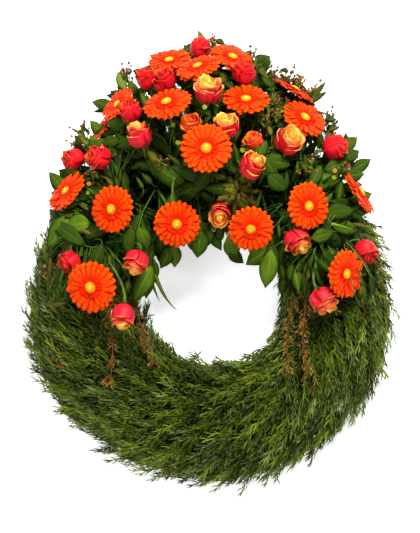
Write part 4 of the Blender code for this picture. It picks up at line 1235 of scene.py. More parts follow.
def conifer_length(index, kinds):
    """One bound length of conifer: its near-black core of painted shade and the sprigs that are swept clockwise
    round it.
    """
    rng = np.random.default_rng(300 + index)
    shelf = index < SHELF_LENGTHS
    first, last = 36.0 * index + 0.3, 36.0 * (index + 1) - 0.3
    pile = Pile()
    # The core is painted shade: a near-black body inside the sprigs
    pile.add(conifer_core(first, last, shelf), finish="conifer_core")
    turns, places, tones, chosen = [], [], [], []
    for j, i in product(range(SPRIGS_ALONG), range(SPRIGS_ROUND)):
        angle = first + (last - first) * (j + rng.uniform(0.0, 1.0)) / SPRIGS_ALONG
        share = (i + rng.uniform(0.0, 1.0)) / SPRIGS_ROUND
        outer, inner = 0.094 + np.interp(angle, *OUTER_EDGE), 0.087 + np.interp(angle, *INNER_EDGE)
        offset, rise, out = arch_spot(share, outer, inner, 0.104)
        flat, bare = shelf and rise > 0.070, open_shelf(angle)
        if flat and (rng.uniform() < 0.25 if bare else abs(offset) < 0.049):
            continue
        if shelf:
            rise = min(rise, 0.078)
        theta = math.radians(angle)
        sweep = np.array([math.sin(theta), -math.cos(theta), 0.0])
        radial = np.array([math.cos(theta), math.sin(theta), 0.0])
        normal = radial * out[0] + np.array([0.0, 0.0, out[1]])
        lean = rng.uniform(0.12, 0.74) * (0.45 if flat else 1.0) + 0.30 * max(0.0, share - 0.72) / 0.28
        outward = np.interp(share, (0.0, 0.55, 0.80, 1.0), (0.46, 0.50, 0.0, -0.30))
        if flat and not bare:
            outward = math.copysign(0.30, offset)
        cross = np.cross(normal, sweep)
        way = sweep * 0.80 + normal * lean + radial * outward + cross * rng.normal(0.0, 0.32)
        turn = frame_of(normal + rng.normal(0.0, 0.25, 3), way)
        size, place = rng.uniform(0.78, 1.12), np.array(on_ring(angle, offset, rise))
        tip = place + turn[:, 1] * SPRIG_REACH * size - np.array(RING_CENTRE)
        furthest = FURTHEST_TIP + np.interp(angle, *OUTER_EDGE)
        size *= min(1.0, furthest / math.hypot(tip[0], tip[1])) ** 4
        turns.append(turn * size)
        places.append(place)
        # Painted light: sprigs that stand out from the core are lighter and flat-lying ones darker, and those low
        # on the outer side lighter still, beside a random tone
        tones.append(0.20 + 0.42 * lean + 0.15 * (share < 0.2) + rng.normal(0.0, 0.28))
        chosen.append(rng.integers(0, len(kinds)))
    turns, places, tones, chosen = (np.array(values) for values in (turns, places, tones, chosen))
    tint = rng.uniform(size=len(turns))
    for (k, kind), (name, low, high) in product(enumerate(kinds), NEEDLE_TINTS):
        pick = (chosen == k) & (tint >= low) & (tint < high)
        if pick.any():
            pile.add(kind, turns[pick], places[pick], tones[pick], name, floor=0.002)
    pile.piece(f"conifer_sprigs_{index + 1:02d}", f"conifer_{index + 1:02d}", "conifer", smooth=False)


# ---- gerberas ----

def petal(length, width, arch, cup, columns=4, rows=6):
    """A blunt petal along +Y from its narrow base, bent down towards its tip and cupped across."""
    spots = np.zeros((rows, columns, 3))
    widths = np.interp(np.linspace(0, 1, rows), (0.0, 0.35, 0.7, 0.88, 1.0), (0.50, 0.88, 1.0, 0.84, 0.22))
    for i in range(rows):
        v = i / (rows - 1)
        v = 1 - (1 - v) ** 1.25
        for j in range(columns):
            u = 2 * j / (columns - 1) - 1
            spots[i, j] = (
                u * widths[i] * width / 2, length * (v - 0.03 * u * u * (v > 0.9)),
                arch * math.sin(math.pi * v * 0.9) + cup * (u * u - 0.3) * math.sin(math.pi * min(v, 0.8)),
            )
    return shell(spots, 0.0006)


def ring_of(rng, count, inner, lift, tilt, shift, size, wobble=0.05):
    """Turns and places that set copies of a petal round a head, lifted and tilted."""
    turns, places = [], []
    for k in range(count):
        angle = 2 * math.pi * (k + shift) / count + rng.normal(0.0, wobble * 2 / count)
        raise_by = tilt + rng.normal(0.0, wobble)
        out = np.array([math.cos(angle), math.sin(angle), 0.0])
        ahead = out * math.cos(raise_by) + np.array([0.0, 0.0, math.sin(raise_by)])
        up = np.array([0.0, 0.0, math.cos(raise_by)]) - out * math.sin(raise_by)
        up = up + np.cross(ahead, up) * rng.normal(0.0, 0.16)
        turns.append(frame_of(up, ahead) * size * rng.uniform(0.96, 1.03))
        places.append(out * inner + np.array([0.0, 0.0, lift + rng.normal(0.0, 0.0002)]))
    return np.array(turns), np.array(places)


def gerbera(number, place, way, radius):
    """One gerbera head: three layers of blunt petals, short inner florets and a tight eye."""
    rng = np.random.default_rng(500 + number)
    matrix = head_matrix(place, way, number * 0.7)
    turn, shift = np.array(matrix.to_3x3()), np.array(matrix.translation)
    size = radius / 0.045
    pile = Pile()

    def add(shape, turns, places, tones, finish):
        pile.add(shape, turn @ turns, places @ turn.T + shift, tones, finish)

    droop = rng.uniform(-0.06, 0.08)
    for count, inner, lift, tilt, start, shape, finish in (
        (23, 0.010, 0.0000, -0.02 + droop, 0.0, "long", "gerbera_petals"),
        (21, 0.009, 0.0008, 0.01 + droop, 0.5, "second", "gerbera_petals"),
        (20, 0.008, 0.0016, 0.02 + droop, 0.2, "third", "gerbera_petals"),
        (24, 0.007, 0.0026, 0.07, 0.6, "short", "gerbera_inner"),
        (20, 0.006, 0.0030, 0.24, 0.1, "stub", "gerbera_inner"),
    ):
        turns, places = ring_of(rng, count, inner * size, lift * size, tilt, start, size, 0.05)
        add(PETALS[shape], turns, places, rng.uniform(0.15, 1.0, count), finish)
    for count, inner, lift, tilt, finish in (
        (28, 0.0064, 0.0036, 0.60, "gerbera_ring"),
        (24, 0.0053, 0.0040, 0.80, "gerbera_ring"),
        (18, 0.0041, 0.0043, 1.00, "gerbera_ring"),
        (13, 0.0028, 0.0043, 1.20, "gerbera_eye"),
        (8, 0.0014, 0.0042, 1.40, "gerbera_eye"),
    ):
        turns, places = ring_of(rng, count, inner * size, lift * size, tilt, rng.uniform(), size, 0.06)
        add(BUTTON, turns, places, rng.uniform(0.2, 1.0, count), finish)
    add(HEAD_BACK, np.eye(3)[None] * size, np.zeros((1, 3)), 0.5, "stems")
    add(EYE_MOUND, np.eye(3)[None] * size, np.zeros((1, 3)), 0.7, "gerbera_eye")
    turns, places = ring_of(rng, 14, 0.0050 * size, -0.0060 * size, 0.35, 0.0, size, 0.04)
    add(PETALS["sepal"], turns, places, rng.uniform(0.2, 0.8, 14), "leaf_mid")
    pile.piece(f"gerbera_head_{number:02d}", f"gerbera_{number:02d}", "gerbera")


# ---- roses ----

def rose_petal(turn, span, share, top, roll, lean, size, columns=8, rows=8):
    """One petal that wraps part of a rose's heart and rolls out at its rim."""
    spots = np.zeros((rows, columns, 3))
    for i in range(rows):
        v = (i / (rows - 1)) ** 0.85
        for j in range(columns):
            u = 2 * j / (columns - 1) - 1
            reach = np.interp(v, (0.0, 0.10, 0.3, 0.55, 0.8, 1.0), (0.24, 0.66, 0.96, 1.03, 0.95, 0.84))
            lip = max(0.0, (v - 0.66) / 0.34) ** 2 * (1.0 - 0.45 * u * u)
            radius = ROSE_RADIUS * (share * reach + roll * lip + lean * v * v)
            wide = np.interp(v, (0.0, 0.3, 0.75, 0.92, 1.0), (0.75, 1.0, 1.0, 0.80, 0.42))
            angle = turn + span * u * wide + 0.06 * math.sin(7.0 * v)
            rise = top * v * (1 - 0.10 * abs(u) ** 1.4 * v) - 0.34 * roll * lip
            rise += 0.012 * math.sin(6.0 * u + turn) * v * v
            spots[i, j] = (radius * math.cos(angle), radius * math.sin(angle), ROSE_LENGTH * (rise - 0.5))
    return shell(spots * size, 0.0007)


def rose(number, place, way, size):
    """One half-open rose: a tight wound heart, wrapped by petals whose rims roll out, on five sepals."""
    rng = np.random.default_rng(700 + number)
    matrix = head_matrix(place, way, number * 0.9)
    turn, shift = np.array(matrix.to_3x3())[None], np.array(matrix.translation)[None]
    pile = Pile()
    kind = ROSE_KINDS.get(number, "red")
    pale = kind == "pale"
    opened = 0.07 if pale else rng.uniform(0.00, 0.06)
    start = rng.uniform(0, 6.28)
    # Each petal's turn and half span, its distance out and height, how far its rim rolls, and its lean
    wraps = [(start + 2.1 * k, 1.9, 0.12 + 0.07 * k, 1.02 - 0.012 * k, 0.05, -0.05 - 0.035 * k) for k in range(5)]
    wraps += [(start + 1.0 + 2.2 * k, 1.45, 0.50 + 0.06 * k, 0.97 - 0.01 * k, 0.10, opened * 0.4) for k in range(4)]
    wraps += [(start + 2.0 + 1.9 * k, 1.20, 0.76 + 0.045 * k, 0.93 - 0.04 * k, 0.24, opened) for k in range(4)]
    wraps += [
        (start + 0.7 + 2.5 * k, 1.00, 0.96, 0.78 - 0.05 * k, 0.34, opened * 1.4) for k in range(3 if pale else 2)
    ]
    for k, (angle, span, share, top, roll, lean) in enumerate(wraps):
        angle += rng.normal(0.0, 0.12)
        top += rng.normal(0.0, 0.015)
        shape = rose_petal(angle, span, share, top, roll * rng.uniform(0.6, 1.3), lean, size)
        finish = "rose_heart" if k < HEART_PETALS.get(kind, 0) else f"rose_{kind}"
        pile.add(shape, turn, shift, rng.uniform(0.1, 1.0), finish)
    pile.add(ROSE_HIP, turn * size, shift, 0.6, "stems")
    for k in range(5):
        angle = 2 * math.pi * k / 5 + start
        out = np.array([math.cos(angle), math.sin(angle), 0.0])
        tilt = rng.uniform(-0.35, 0.95)
        ahead = out * math.cos(tilt) + np.array([0.0, 0.0, math.sin(tilt)])
        up = -out * math.sin(tilt) + np.array([0.0, 0.0, math.cos(tilt)])
        base = out * 0.0060 * size + np.array([0.0, 0.0, -0.5 * ROSE_LENGTH * size + 0.001])
        sepal, foot = turn[0] @ frame_of(-up, ahead) * size, base @ turn[0].T + shift[0]
        pile.add(PETALS["rose_sepal"], sepal, foot, rng.uniform(0.3, 0.9), "leaf_bright")
    pile.piece(f"rose_head_{number:02d}", f"rose_{number:02d}", "rose")


# ---- leaves ----

def leaf_blade(line, side, half, fold=0.16, rows=8, columns=5, lobes=0.0, blunt=0.0):
    """A leaf blade along a line of points: widest before its middle, folded a little along its midrib."""
    line = as_points(line)
    steps = np.linspace(0, 1, rows)
    stops = np.linspace(0, 1, len(line))
    spine = np.stack([np.interp(steps, stops, line[:, k]) for k in range(3)], axis=1)
    ahead = np.gradient(spine, axis=0)
    ahead /= np.linalg.norm(ahead, axis=1, keepdims=True)
    side = np.array(side, float)
    spots = np.zeros((rows, columns, 3))
    for i, v in enumerate(steps):
        across = side - ahead[i] * side.dot(ahead[i])
        across /= np.linalg.norm(across)
        normal = np.cross(across, ahead[i])
        width = np.interp(v, BLADE_STOPS, BLADE_WIDTHS)
        width = max(width, blunt * (v < 0.97) * min(1.0, 2.2 - 2.0 * v))
        width *= 1 + lobes * math.sin(v * 19.0)
        for j in range(columns):
            u = 2 * j / (columns - 1) - 1
            wave = 0.05 * math.sin(9.0 * v + 2.0 * u)
            lift = fold * (abs(u) - 0.3) - 0.20 * u * u + wave * abs(u)
            spots[i, j] = spine[i] + across * u * half * width + normal * half * width * lift
    return shell(spots, 0.0008)


def smooth_line(points, steps):
    """A smooth line through four or five points."""
    points = as_points(points)
    padded = np.concatenate([2 * points[:1] - points[1:2], points, 2 * points[-1:] - points[-2:-1]])
    line = []
    for k in range(1, len(padded) - 2):
        a, b, c, d = padded[k - 1:k + 3]
        for s in np.arange(steps) / steps:
            line.append(0.5 * (2 * b + (c - a) * s + (2 * a - 5 * b + 4 * c - d) * s * s
                               + (3 * b - a - 3 * c + d) * s ** 3))
    line.append(points[-1])
    return np.array(line)


def rounded_line(points):
    """The line through points with its corners cut three times, within the bends of the solid."""
    line = as_points(points)
    for _ in range(3):
        cut = [line[:1]]
        for a, b in zip(line[:-1], line[1:]):
            cut.append(np.stack([a * 0.75 + b * 0.25, a * 0.25 + b * 0.75]))
        line = np.concatenate(cut + [line[-1:]])
    return line


def add_leaf(pile, root, line, side, half, finish, tone, rng, rows=8, columns=5):
    """A leaf on its stalk, from its root on the bed to the tip of its blade."""
    line = smooth_line(line, 5)
    begin, onward = Vector(line[0]), Vector(line[1]) - Vector(line[0])
    bend = min((begin - root).length * 0.4, 0.014)
    stalk = bezier(root, root + UP * bend, begin - onward.normalized() * bend, begin, 3)
    pile.add_rod(stalk + [begin + onward * 1.5], [0.0014, 0.0012, 0.0010, 0.0008], 3, tone, "stems")
    pile.add(leaf_blade(line, side, half, rng.uniform(0.05, 0.35), rows, columns), tones=tone, finish=finish)


def leaf_line(tip, away, normal, length, bow=0.07):
    """The line of a blade that ends at its tip, and its side direction."""
    out = (away - normal * away.dot(normal)).normalized()
    begin = tip - out * length
    rise = normal * length
    line = [begin, begin.lerp(tip, 0.36) + rise * bow, begin.lerp(tip, 0.72) + rise * bow * 0.8, tip]
    return line, normal.cross(out)


def lone_leaf(pile, entry, feet, rng):
    """A leaf that shows by itself, from the table."""
    across, up, height, direction, length, half, finish, block = entry
    away = in_view(math.radians(direction))
    normal = (TOWARDS + away * rng.uniform(0.1, 0.5)).normalized()
    line, side = leaf_line(seen(across, up, height), away, normal, length / 1000)
    root, tone = bed_root(line[0], block, feet), rng.uniform(0.4, 0.9)
    add_leaf(pile, root, line, side, half / 1000, f"leaf_{finish}", tone, rng)


def small_leaf(rng, across, up, depth, feet, room):
    """A smaller leaf between the blooms, or nothing where it would meet a bloom."""
    across += rng.uniform(-1.8, 1.8)
    up += rng.uniform(-1.8, 1.8)
    if not inside_outline(across, up):
        return None
    height = max(leaf_height(across, up) - rng.uniform(*depth), rng.uniform(9.5, 12.5))
    tip = leaf_tip(across, up, height, rng.uniform(-0.004, 0.012))
    angle, offset = round_ring(tip)
    if offset < -0.108 or not -10 < angle < 188:
        return None
    block = block_at(angle)
    away = pointing_out(across, up, rng.uniform(-75, 75))
    normal = (TOWARDS + away * rng.uniform(-0.1, 0.8) + RISE.cross(away) * rng.uniform(-0.5, 0.5)).normalized()
    length = rng.uniform(0.024, 0.050) + 0.0018 * depth[0]
    half = length * rng.uniform(0.11, 0.27)
    line, side = leaf_line(tip, away, normal, length, rng.uniform(0.03, 0.10))
    stalk, out = line[0] - bed_root(line[0], block, feet), (tip - line[0]).normalized()
    if stalk.dot(out) < 0.05 * stalk.length or round_ring(line[0])[1] < -0.100:
        return None
    probes = line + [point + side * half * k for point in line[1:3] for k in (-1, 1)]
    if not all(room.clear_of_heads(probe, 0.0015) and not room.hides(probe) for probe in probes):
        return None
    return block, line, side, half


def small_leaves(piles, feet, room, rng):
    """The smaller leaves of every depth between the blooms."""
    for depth, step, finishes, low, high in SMALL_LEAVES:
        for row, column in product(range(24), range(-12, 13)):
            across, up = (column + 0.5 * (row % 2)) * step, -6.0 + row * step * 0.9
            if up > 52:
                continue
            for _ in range(8):
                made = small_leaf(rng, across, up, depth, feet, room)
                if made:
                    block, line, side, half = made
                    root = bed_root(line[0], block, feet)
                    root.z = line[0].z - 0.004 if line[0].z < root.z + 0.004 else root.z
                    # Painted shade: the deeper layers take darker kinds and lower tones
                    finish, tone = f"leaf_{rng.choice(finishes)}", rng.uniform(low, high)
                    add_leaf(piles[block], root, line, side, half, finish, tone, rng, 7, 3)
                    break


def narrow_blades(piles, feet):
    """The narrow blades that hang over the ring's inner edge or stand between the blooms."""
    for x, y, turn_x, turn_y, end_x, end_y, height in HANGING_BLADES:
        root, tip = bed_root(seen(x, y, height), "left", feet), seen(end_x, end_y, height)
        line = bezier(root, seen(x, y, height + 5.0), seen(turn_x, turn_y, height + 2.0), tip, 9)
        side = TOWARDS.cross(tip - root).normalized()
        blade = leaf_blade(line, side, 0.0052, 0.2, 12, 3, blunt=0.55)
        piles["left"].add(blade, tones=0.8, finish="leaf_mid")
    for x, y, end_x, end_y, height, block in BLADES:
        root, tip = bed_root(seen(x, y, height), block, feet), seen(end_x, end_y, height)
        middle = seen(x, y, 100 * root.z + 4.0)
        line = bezier(root, root.lerp(middle, 0.7), middle, tip, 7)
        blade = leaf_blade(line, (tip - root).cross(UP).normalized(), 0.0042, 0.2, 10, 3, blunt=0.55)
        piles[block].add(blade, tones=0.8, finish="leaf_pale")


def greens(feet, room, stems, leaves):
    """The leaves, stems, buds and berry sprays that stand in each foam block."""
    rng = random.Random(31)
    piles = {block: Pile() for block in feet}
    for block, pile in piles.items():
        start, end, foot = feet[block]
        slope, top = foot + BED_HEIGHT[block] * 0.75, foot + BED_HEIGHT[block]
        profile = [(0.045, foot), (0.034, slope), (0.0, top), (-0.034, slope), (-0.045, foot)]
        # Each block's bed is a near-black mound of painted shade under its leaves
        pile.add(swept(profile, start, end, 8), finish="conifer_core")
    for block, bends, radius in stems:
        line = bezier(*bends, 9)
        line.append(line[-1] + (line[-1] - line[-2]).normalized() * 0.0006)
        radii = [radius] * 8 + [radius * 1.15, radius * 1.5]
        piles[block].add_rod(line, radii, 6, rng.uniform(0.3, 0.8), "stems")
    for block, points, side, half in leaves:
        finish = rng.choice(("leaf_dark", "leaf_dark", "leaf_mid"))
        half, tone = half * rng.uniform(0.75, 1.0), rng.uniform(0.0, 0.8)
        add_leaf(piles[block], points[0], points[1:], side, half, finish, tone, rng)
    back_fringe(piles["centre"], feet, rng)
    for entry in LONE_LEAVES:
        lone_leaf(piles[entry[-1]], entry, feet, rng)
    narrow_blades(piles, feet)
    small_leaves(piles, feet, room, rng)
    tufts(piles, feet, room, rng)
    skirts(piles, feet, rng)
    for across, up, height, spread, block in BERRY_SPRAYS:
        berry_spray(piles[block], seen(across, up, height), spread / 100, block, feet, rng)
    for across, up, height, width, finish, block in BUDS:
        bud(piles[block], seen(across, up, height), width / 1000, finish, block, feet, rng)
    lobed_cluster(piles["centre"], seen(*LOBED_CLUSTER), feet, rng)
    for block, pile in piles.items():
        pile.piece(f"leaves_{block}", f"greens_{block}", "greens")


def tuft(rng):
    """A tuft of narrow leaves along +Y."""
    parts = []
    for k in range(13):
        fan, tilt = rng.normal(0.0, 0.36), rng.normal(0.0, 0.26)
        way = np.array([math.sin(fan), math.cos(fan) * math.cos(tilt), math.sin(tilt)])
        reach = rng.uniform(0.020, 0.040)
        root = np.array([0.0, rng.uniform(0.0, 0.012), 0.0])
        droop = np.array([0.0, 0.0, -reach * rng.uniform(0.0, 0.12)])
        parts.append(rod([root, root + way * reach * 0.55, root + way * reach + droop], (0.0008, 0.0013), 3,
                         rng.uniform(-0.25, 0.25)))
    return together(parts)


def tufts(piles, feet, room, rng):
    """Tufts of narrow leaves that fill the dark places between the broad ones."""
    kinds = [tuft(np.random.default_rng(60 + k)) for k in range(4)]
    for row, column in product(range(17), range(-8, 9)):
        across, up = (column + 0.5 * (row % 2)) * 4.1, -4.0 + row * 3.4
        for _ in range(3):
            made = small_leaf(rng, across, up, (1.0, 6.0), feet, room)
            if not made:
                continue
            block, line, side, _ = made
            begin, ahead = line[0], (line[-1] - line[0]).normalized()
            fan = product((0.016, 0.034), (-0.022, -0.010, 0.0, 0.010, 0.022))
            if any(room.hides(begin + ahead * reach + side * k) for reach, k in fan):
                continue
            root = bed_root(begin, block, feet)
            stalk = bezier(root, root.lerp(begin, 0.4) + UP * 0.004, begin - ahead * 0.006, begin, 3)
            piles[block].add_rod(stalk + [begin + ahead * 0.008], [0.0010] * 4, 3, 0.3, "stems")
            finish = rng.choice(("needles", "needles", "needles_blue", "leaf_mid"))
            kind, turn = rng.choice(kinds), frame_of(ahead.cross(-side), ahead)
            piles[block].add(kind, turn, begin, rng.uniform(0.2, 0.75), finish)
            break


def skirts(piles, feet, rng):
    """Short leaves that lie over the sides and the ends of each foam block."""
    for block, pile in piles.items():
        start, end = FOAM_ENDS[block]
        foot = feet[block][2]
        places = [(start + (end - start) * (k + 0.5) / 13, side) for k in range(13) for side in (-1, 1)]
        places += [(edge, 0.4 * k) for k in (-2, -1, 0, 1, 2) for edge in (start - 1.0, end + 1.0)]
        for (angle, side), level in product(places, (0, 1)):
            radial, along = out_and_along(angle)
            at_end = abs(side) < 1
            if at_end:
                out, aside, edge, size = along * (1 if angle > (start + end) / 2 else -1), radial, 0.045, 0.7
            else:
                out, aside, edge, size = radial * side, along, 0.046, 1.0
            out = (out + aside * rng.uniform(-0.7, 0.7)).normalized()
            begin = on_ring(angle, side * edge, foot - 0.002 - 0.016 * level)
            length = rng.uniform(0.026, 0.044) * size * (0.7 if side < 0 else 1.0)
            tip = begin + out * length * 0.75 + UP * (-0.30 * length - 0.004 * level)
            normal, away = (out * 0.45 + UP).normalized(), (tip - begin).normalized()
            normal = (normal - away * normal.dot(away)).normalized()
            line, across = leaf_line(begin + away * length, away, normal, length, 0.10)
            root, finish = bed_root(begin, block, feet), rng.choice(("leaf_dark", "leaf_dark", "leaf_mid"))
            half, tone = length * rng.uniform(0.13, 0.22), rng.uniform(0.1, 0.7)
            add_leaf(pile, root, line, across, half, finish, tone, rng, rows=6)


def back_fringe(pile, feet, rng):
    """Smaller leaves that hang between the long ones behind the spray."""
    for angle, reach, height, _ in BACK_LEAVES:
        for _ in range(5):
            turn = angle + rng.uniform(-5.0, 5.0)
            radial, _ = out_and_along(turn)
            far = rng.uniform(0.110, reach)
            tip = on_ring(turn, far, height + (reach - far) * 0.6 + rng.uniform(-0.004, 0.010))
            away = (radial * 0.85 + radial.cross(UP) * rng.uniform(-0.5, 0.5) - UP * 0.45).normalized()
            line, side = leaf_line(tip, away, (UP + radial * 0.5).normalized(), rng.uniform(0.036, 0.056), 0.09)
            root, half = bed_root(line[0], "centre", feet), rng.uniform(0.007, 0.011)
            finish, tone = rng.choice(("leaf_dark", "leaf_mid")), rng.uniform(0.1, 0.8)
            add_leaf(pile, root, line, side, half, finish, tone, rng, rows=7, columns=3)


def berry_spray(pile, top, spread, block, feet, rng):
    """Thin forked twigs with small dark berries."""
    root = bed_root(top, block, feet)
    neck = top.lerp(root, 0.25 if (top - root).length > 0.06 else 0.4)
    bend = root + UP * (top - root).length * 0.3
    pile.add_rod(bezier(root, bend, root.lerp(neck, 0.8), neck, 5), [0.0011] * 5, 4, 0.5, "twigs")
    away = (top - root).normalized()
    for _ in range(14):
        fan = Vector((rng.uniform(-1, 1), rng.uniform(-1, 1), rng.uniform(-0.4, 0.6)))
        tip = top + (away * rng.uniform(-0.8, 0.5) + fan * 0.7) * spread * rng.uniform(0.4, 0.9)
        tip.z = max(tip.z, 0.05)
        fork = neck.lerp(top, rng.uniform(0.0, 0.7))
        aside = (tip - fork).normalized()
        bend = fork.lerp(tip, 0.5) + UP * 0.002
        pile.add_rod([fork, bend, tip, tip + aside * 0.001], [0.0011, 0.0009, 0.0007], 3, 0.6, "twigs")
        normal, middle = (UP + fan * 0.6).normalized(), fork.lerp(tip, 0.5)
        line, side = leaf_line(middle + aside * 0.010, aside, normal, rng.uniform(0.010, 0.017), 0.05)
        leaf = leaf_blade(line, side, rng.uniform(0.0022, 0.0038), 0.2, 5, 3)
        tone, finish = rng.uniform(0.2, 0.9), rng.choice(("leaf_mid", "leaf_bright", "leaf_dark"))
        pile.add(leaf, tones=tone, finish=finish)
        for share in (1.0, rng.uniform(0.6, 0.85)):
            aside = Vector((rng.uniform(-1, 1), rng.uniform(-1, 1), rng.uniform(-1, 1))) * 0.0015
            turn = np.array(Matrix.Rotation(rng.uniform(0, 6.28), 3, fan.normalized())) * rng.uniform(0.8, 1.35)
            pile.add(BERRY, turn, fork.lerp(tip, share) + aside, rng.uniform(0.2, 0.9), "berries")


def bud(pile, place, width, finish, block, feet, rng):
    """A round bud of short overlapping scales on its stem."""
    root = bed_root(place, block, feet)
    stem = bezier(root, root + UP * 0.03, place - UP * 0.03, place, 6)
    pile.add_rod(stem + [place + UP * 0.001], [0.0011] * 7, 4, 0.5, "stems")
    matrix = np.array(head_matrix(place, TOWARDS, rng.uniform(0, 6)).to_3x3())
    scales = np.random.default_rng(rng.randrange(1000))
    for count, inner, tilt, scale in BUD_SCALES:
        size = width / 0.030 * scale
        turns, places = ring_of(scales, count, inner * width, 0.0, tilt, rng.uniform(0, 1), size, 0.1)
        places, tones = places @ matrix.T + np.array(place), scales.uniform(0.2, 1, count)
        pile.add(PETALS["sepal"], matrix @ turns, places, tones, f"bud_{finish}")


def lobed_cluster(pile, place, feet, rng):
    """The rosette of reddish lobed leaves round a few berries below the middle gerbera, on one stem."""
    root, heart = bed_root(place, "centre", feet), place - TOWARDS * 0.006
    stem = bezier(root, root + UP * 0.03, heart - TOWARDS * 0.03, heart, 6)
    pile.add_rod(stem, [0.0014] * 6, 4, 0.3, "stems")
    for k in range(22):
        away = in_view(4 * math.pi * (k + rng.uniform(-0.3, 0.3)) / 22)
        reach = rng.uniform(0.034, 0.046) if k < 11 else rng.uniform(0.020, 0.030)
        lift = TOWARDS * (rng.uniform(-0.012, 0.002) if k < 11 else rng.uniform(0.004, 0.012))
        normal = (TOWARDS + away * rng.uniform(0.0, 0.5)).normalized()
        line, side = leaf_line(heart + away * reach + lift, away, normal, reach * 0.92, 0.10)
        blade = leaf_blade(line, side, reach * rng.uniform(0.15, 0.24), 0.3, 12, 3, 0.32)
        pile.add(blade, tones=rng.uniform(0.1, 1.0), finish="leaf_red")
    for _ in range(14):
        spot = heart + RIGHT * rng.uniform(-0.010, 0.010) + RISE * rng.uniform(-0.010, 0.010)
        spot = spot + TOWARDS * rng.uniform(0.004, 0.012)
        pile.add(BERRY, np.eye(3) * rng.uniform(0.45, 0.8), spot, rng.uniform(0.3, 1.0), "berries")
        pile.add_rod([heart, heart.lerp(spot, 0.6), spot], [0.0007, 0.0006], 3, 0.5, "twigs")


# ---- seed sprays ----

def seed_branch_line(angle, name, places, clearance=0.007):
    """The points that one branch of a seed spray passes, from its foot in the foam."""
    top = SHELF_HEIGHT + SEAT_GAP + FOAM_HEIGHT[name]
    foot = on_ring(angle, 0.0, top - HOLE_DEPTH + SEAT_GAP)
    neck = on_ring(angle, 0.0, top + 0.030)
    return [foot, neck] + [over_conifer(across, up, clearance) for across, up in places]


def seed_spray(name):
    """A brown seed spray: two hanging branches with short side twigs full of small seeds."""
    angle, branches = SEED_SPRAYS[name]
    rng = random.Random(90 + len(name))
    pile = Pile()
    for places in branches:
        line = rounded_line(seed_branch_line(angle, name, places, -0.006))
        pile.add_rod(line, list(np.linspace(0.0024, 0.0008, len(line) - 1)), 5, 0.5, "twigs")
        for i in range(int(len(line) * 0.40), len(line) - 1):
            ahead = Vector(line[i + 1] - line[i]).normalized()
            flat = ahead.cross(UP).normalized()
            clump = 0.5 + 0.5 * math.sin(1.15 * i + 2.0 * places[0][0])
            for side in (-1, 1):
                if rng.random() > 0.25 + 0.75 * clump:
                    continue
                spot = Vector(line[i]).lerp(Vector(line[i + 1]), rng.random())
                reach = rng.uniform(0.007, 0.014) + 0.014 * clump * rng.random()
                way = ahead * rng.uniform(0.7, 1.3) + flat * side * rng.uniform(0.2, 1.1)
                way = (way + UP * rng.uniform(-0.25, 0.25)).normalized()
                tip = spot + way * reach
                pile.add_rod([spot, tip], [0.0006], 3, 0.5, "twigs")
                for share in (0.3, 0.5, 0.7, 0.85, 1.0):
                    aside = Vector((rng.uniform(-1, 1), rng.uniform(-1, 1), rng.uniform(-0.6, 0.6)))
                    turn = frame_of((0.1, 0.2, 1.0), (way + aside * 0.9).normalized()) * rng.uniform(0.6, 1.2)
                    pile.add(SEED, turn, spot.lerp(tip, share), rng.uniform(0.0, 1.0), "seeds")
    pile.piece(f"seed_sprays_{name}", f"seed_spray_{name}", "seeds")


# ---- shapes that are copied ----

def turned(profile, sides, graded=False):
    """A closed turned body from radii and heights, between two poles, whose tones may follow its height."""
    points = [(0.0, 0.0, profile[0][1])]
    for (radius, height), k in product(profile[1:-1], range(sides)):
        turn = 2 * math.pi * k / sides
        points.append((radius * math.cos(turn), radius * math.sin(turn), height))
    points.append((0.0, 0.0, profile[-1][1]))
    rings, faces, uvs = len(profile) - 2, [], []
    for k in range(sides):
        n = (k + 1) % sides
        faces.append((0, 1 + n, 1 + k))
        uvs.append([(0.0, 0.0)] * 3)
        for i in range(rings - 1):
            a = 1 + i * sides
            faces.append((a + k, a + n, a + sides + n, a + sides + k))
            low, high = ((i + 1) / (rings + 1), (i + 2) / (rings + 1)) if graded else (0.5, 0.5)
            uvs.append([(0.5, low)] * 2 + [(0.5, high)] * 2)
        a = 1 + (rings - 1) * sides
        faces.append((a + k, a + n, len(points) - 1))
        uvs.append([(0.5, 1.0)] * 3)
    return Shape(points, faces, uvs)


def ball(radius, sides, rows):
    """A small round shape with closed poles."""
    tilts = [math.pi * i / rows for i in range(rows + 1)]
    return turned([(radius * math.sin(tilt), -radius * math.cos(tilt)) for tilt in tilts], sides, True)


PETALS = {
    "long": petal(0.0357, 0.0124, 0.0007, 0.0002),
    "second": petal(0.0343, 0.0118, 0.0008, 0.0002),
    "third": petal(0.0280, 0.0098, 0.0008, 0.0003),
    "short": petal(0.0150, 0.0066, 0.0004, 0.0002, 3, 4),
    "stub": petal(0.0075, 0.0036, 0.0004, 0.0003, 3, 4),
    "sepal": petal(0.0110, 0.0042, 0.0006, 0.0004, 3, 4),
    "rose_sepal": petal(0.0230, 0.0052, -0.0030, 0.0010, 3, 6),
}
BUTTON = rod([(0, 0, 0), (0, 0.0024, 0), (0, 0.0033, 0)], [0.0007, 0.0010], 3)
SEED = rod([(0, 0, 0), (0, 0.0026, 0), (0, 0.0056, 0)], [0.0005, 0.0014], 3)
BERRY = ball(0.0026, 5, 3)
HEAD_BACK = turned((
    (0, -0.0075), (0.0052, -0.0073), (0.0085, -0.0045), (0.0105, -0.0015), (0.0085, 0.0022), (0.004, 0.0034),
    (0, 0.0036),
), 12)
EYE_MOUND = turned((
    (0, 0.0020), (0.0068, 0.0030), (0.0064, 0.0046), (0.0045, 0.0056), (0.0022, 0.0054), (0, 0.0046),
), 14)
ROSE_HIP = turned((
    (0, -0.0250), (0.0030, -0.0250), (0.0062, -0.0235), (0.0085, -0.0205), (0.0080, -0.0180), (0, -0.0170),
), 10)


# ---- the whole wreath ----

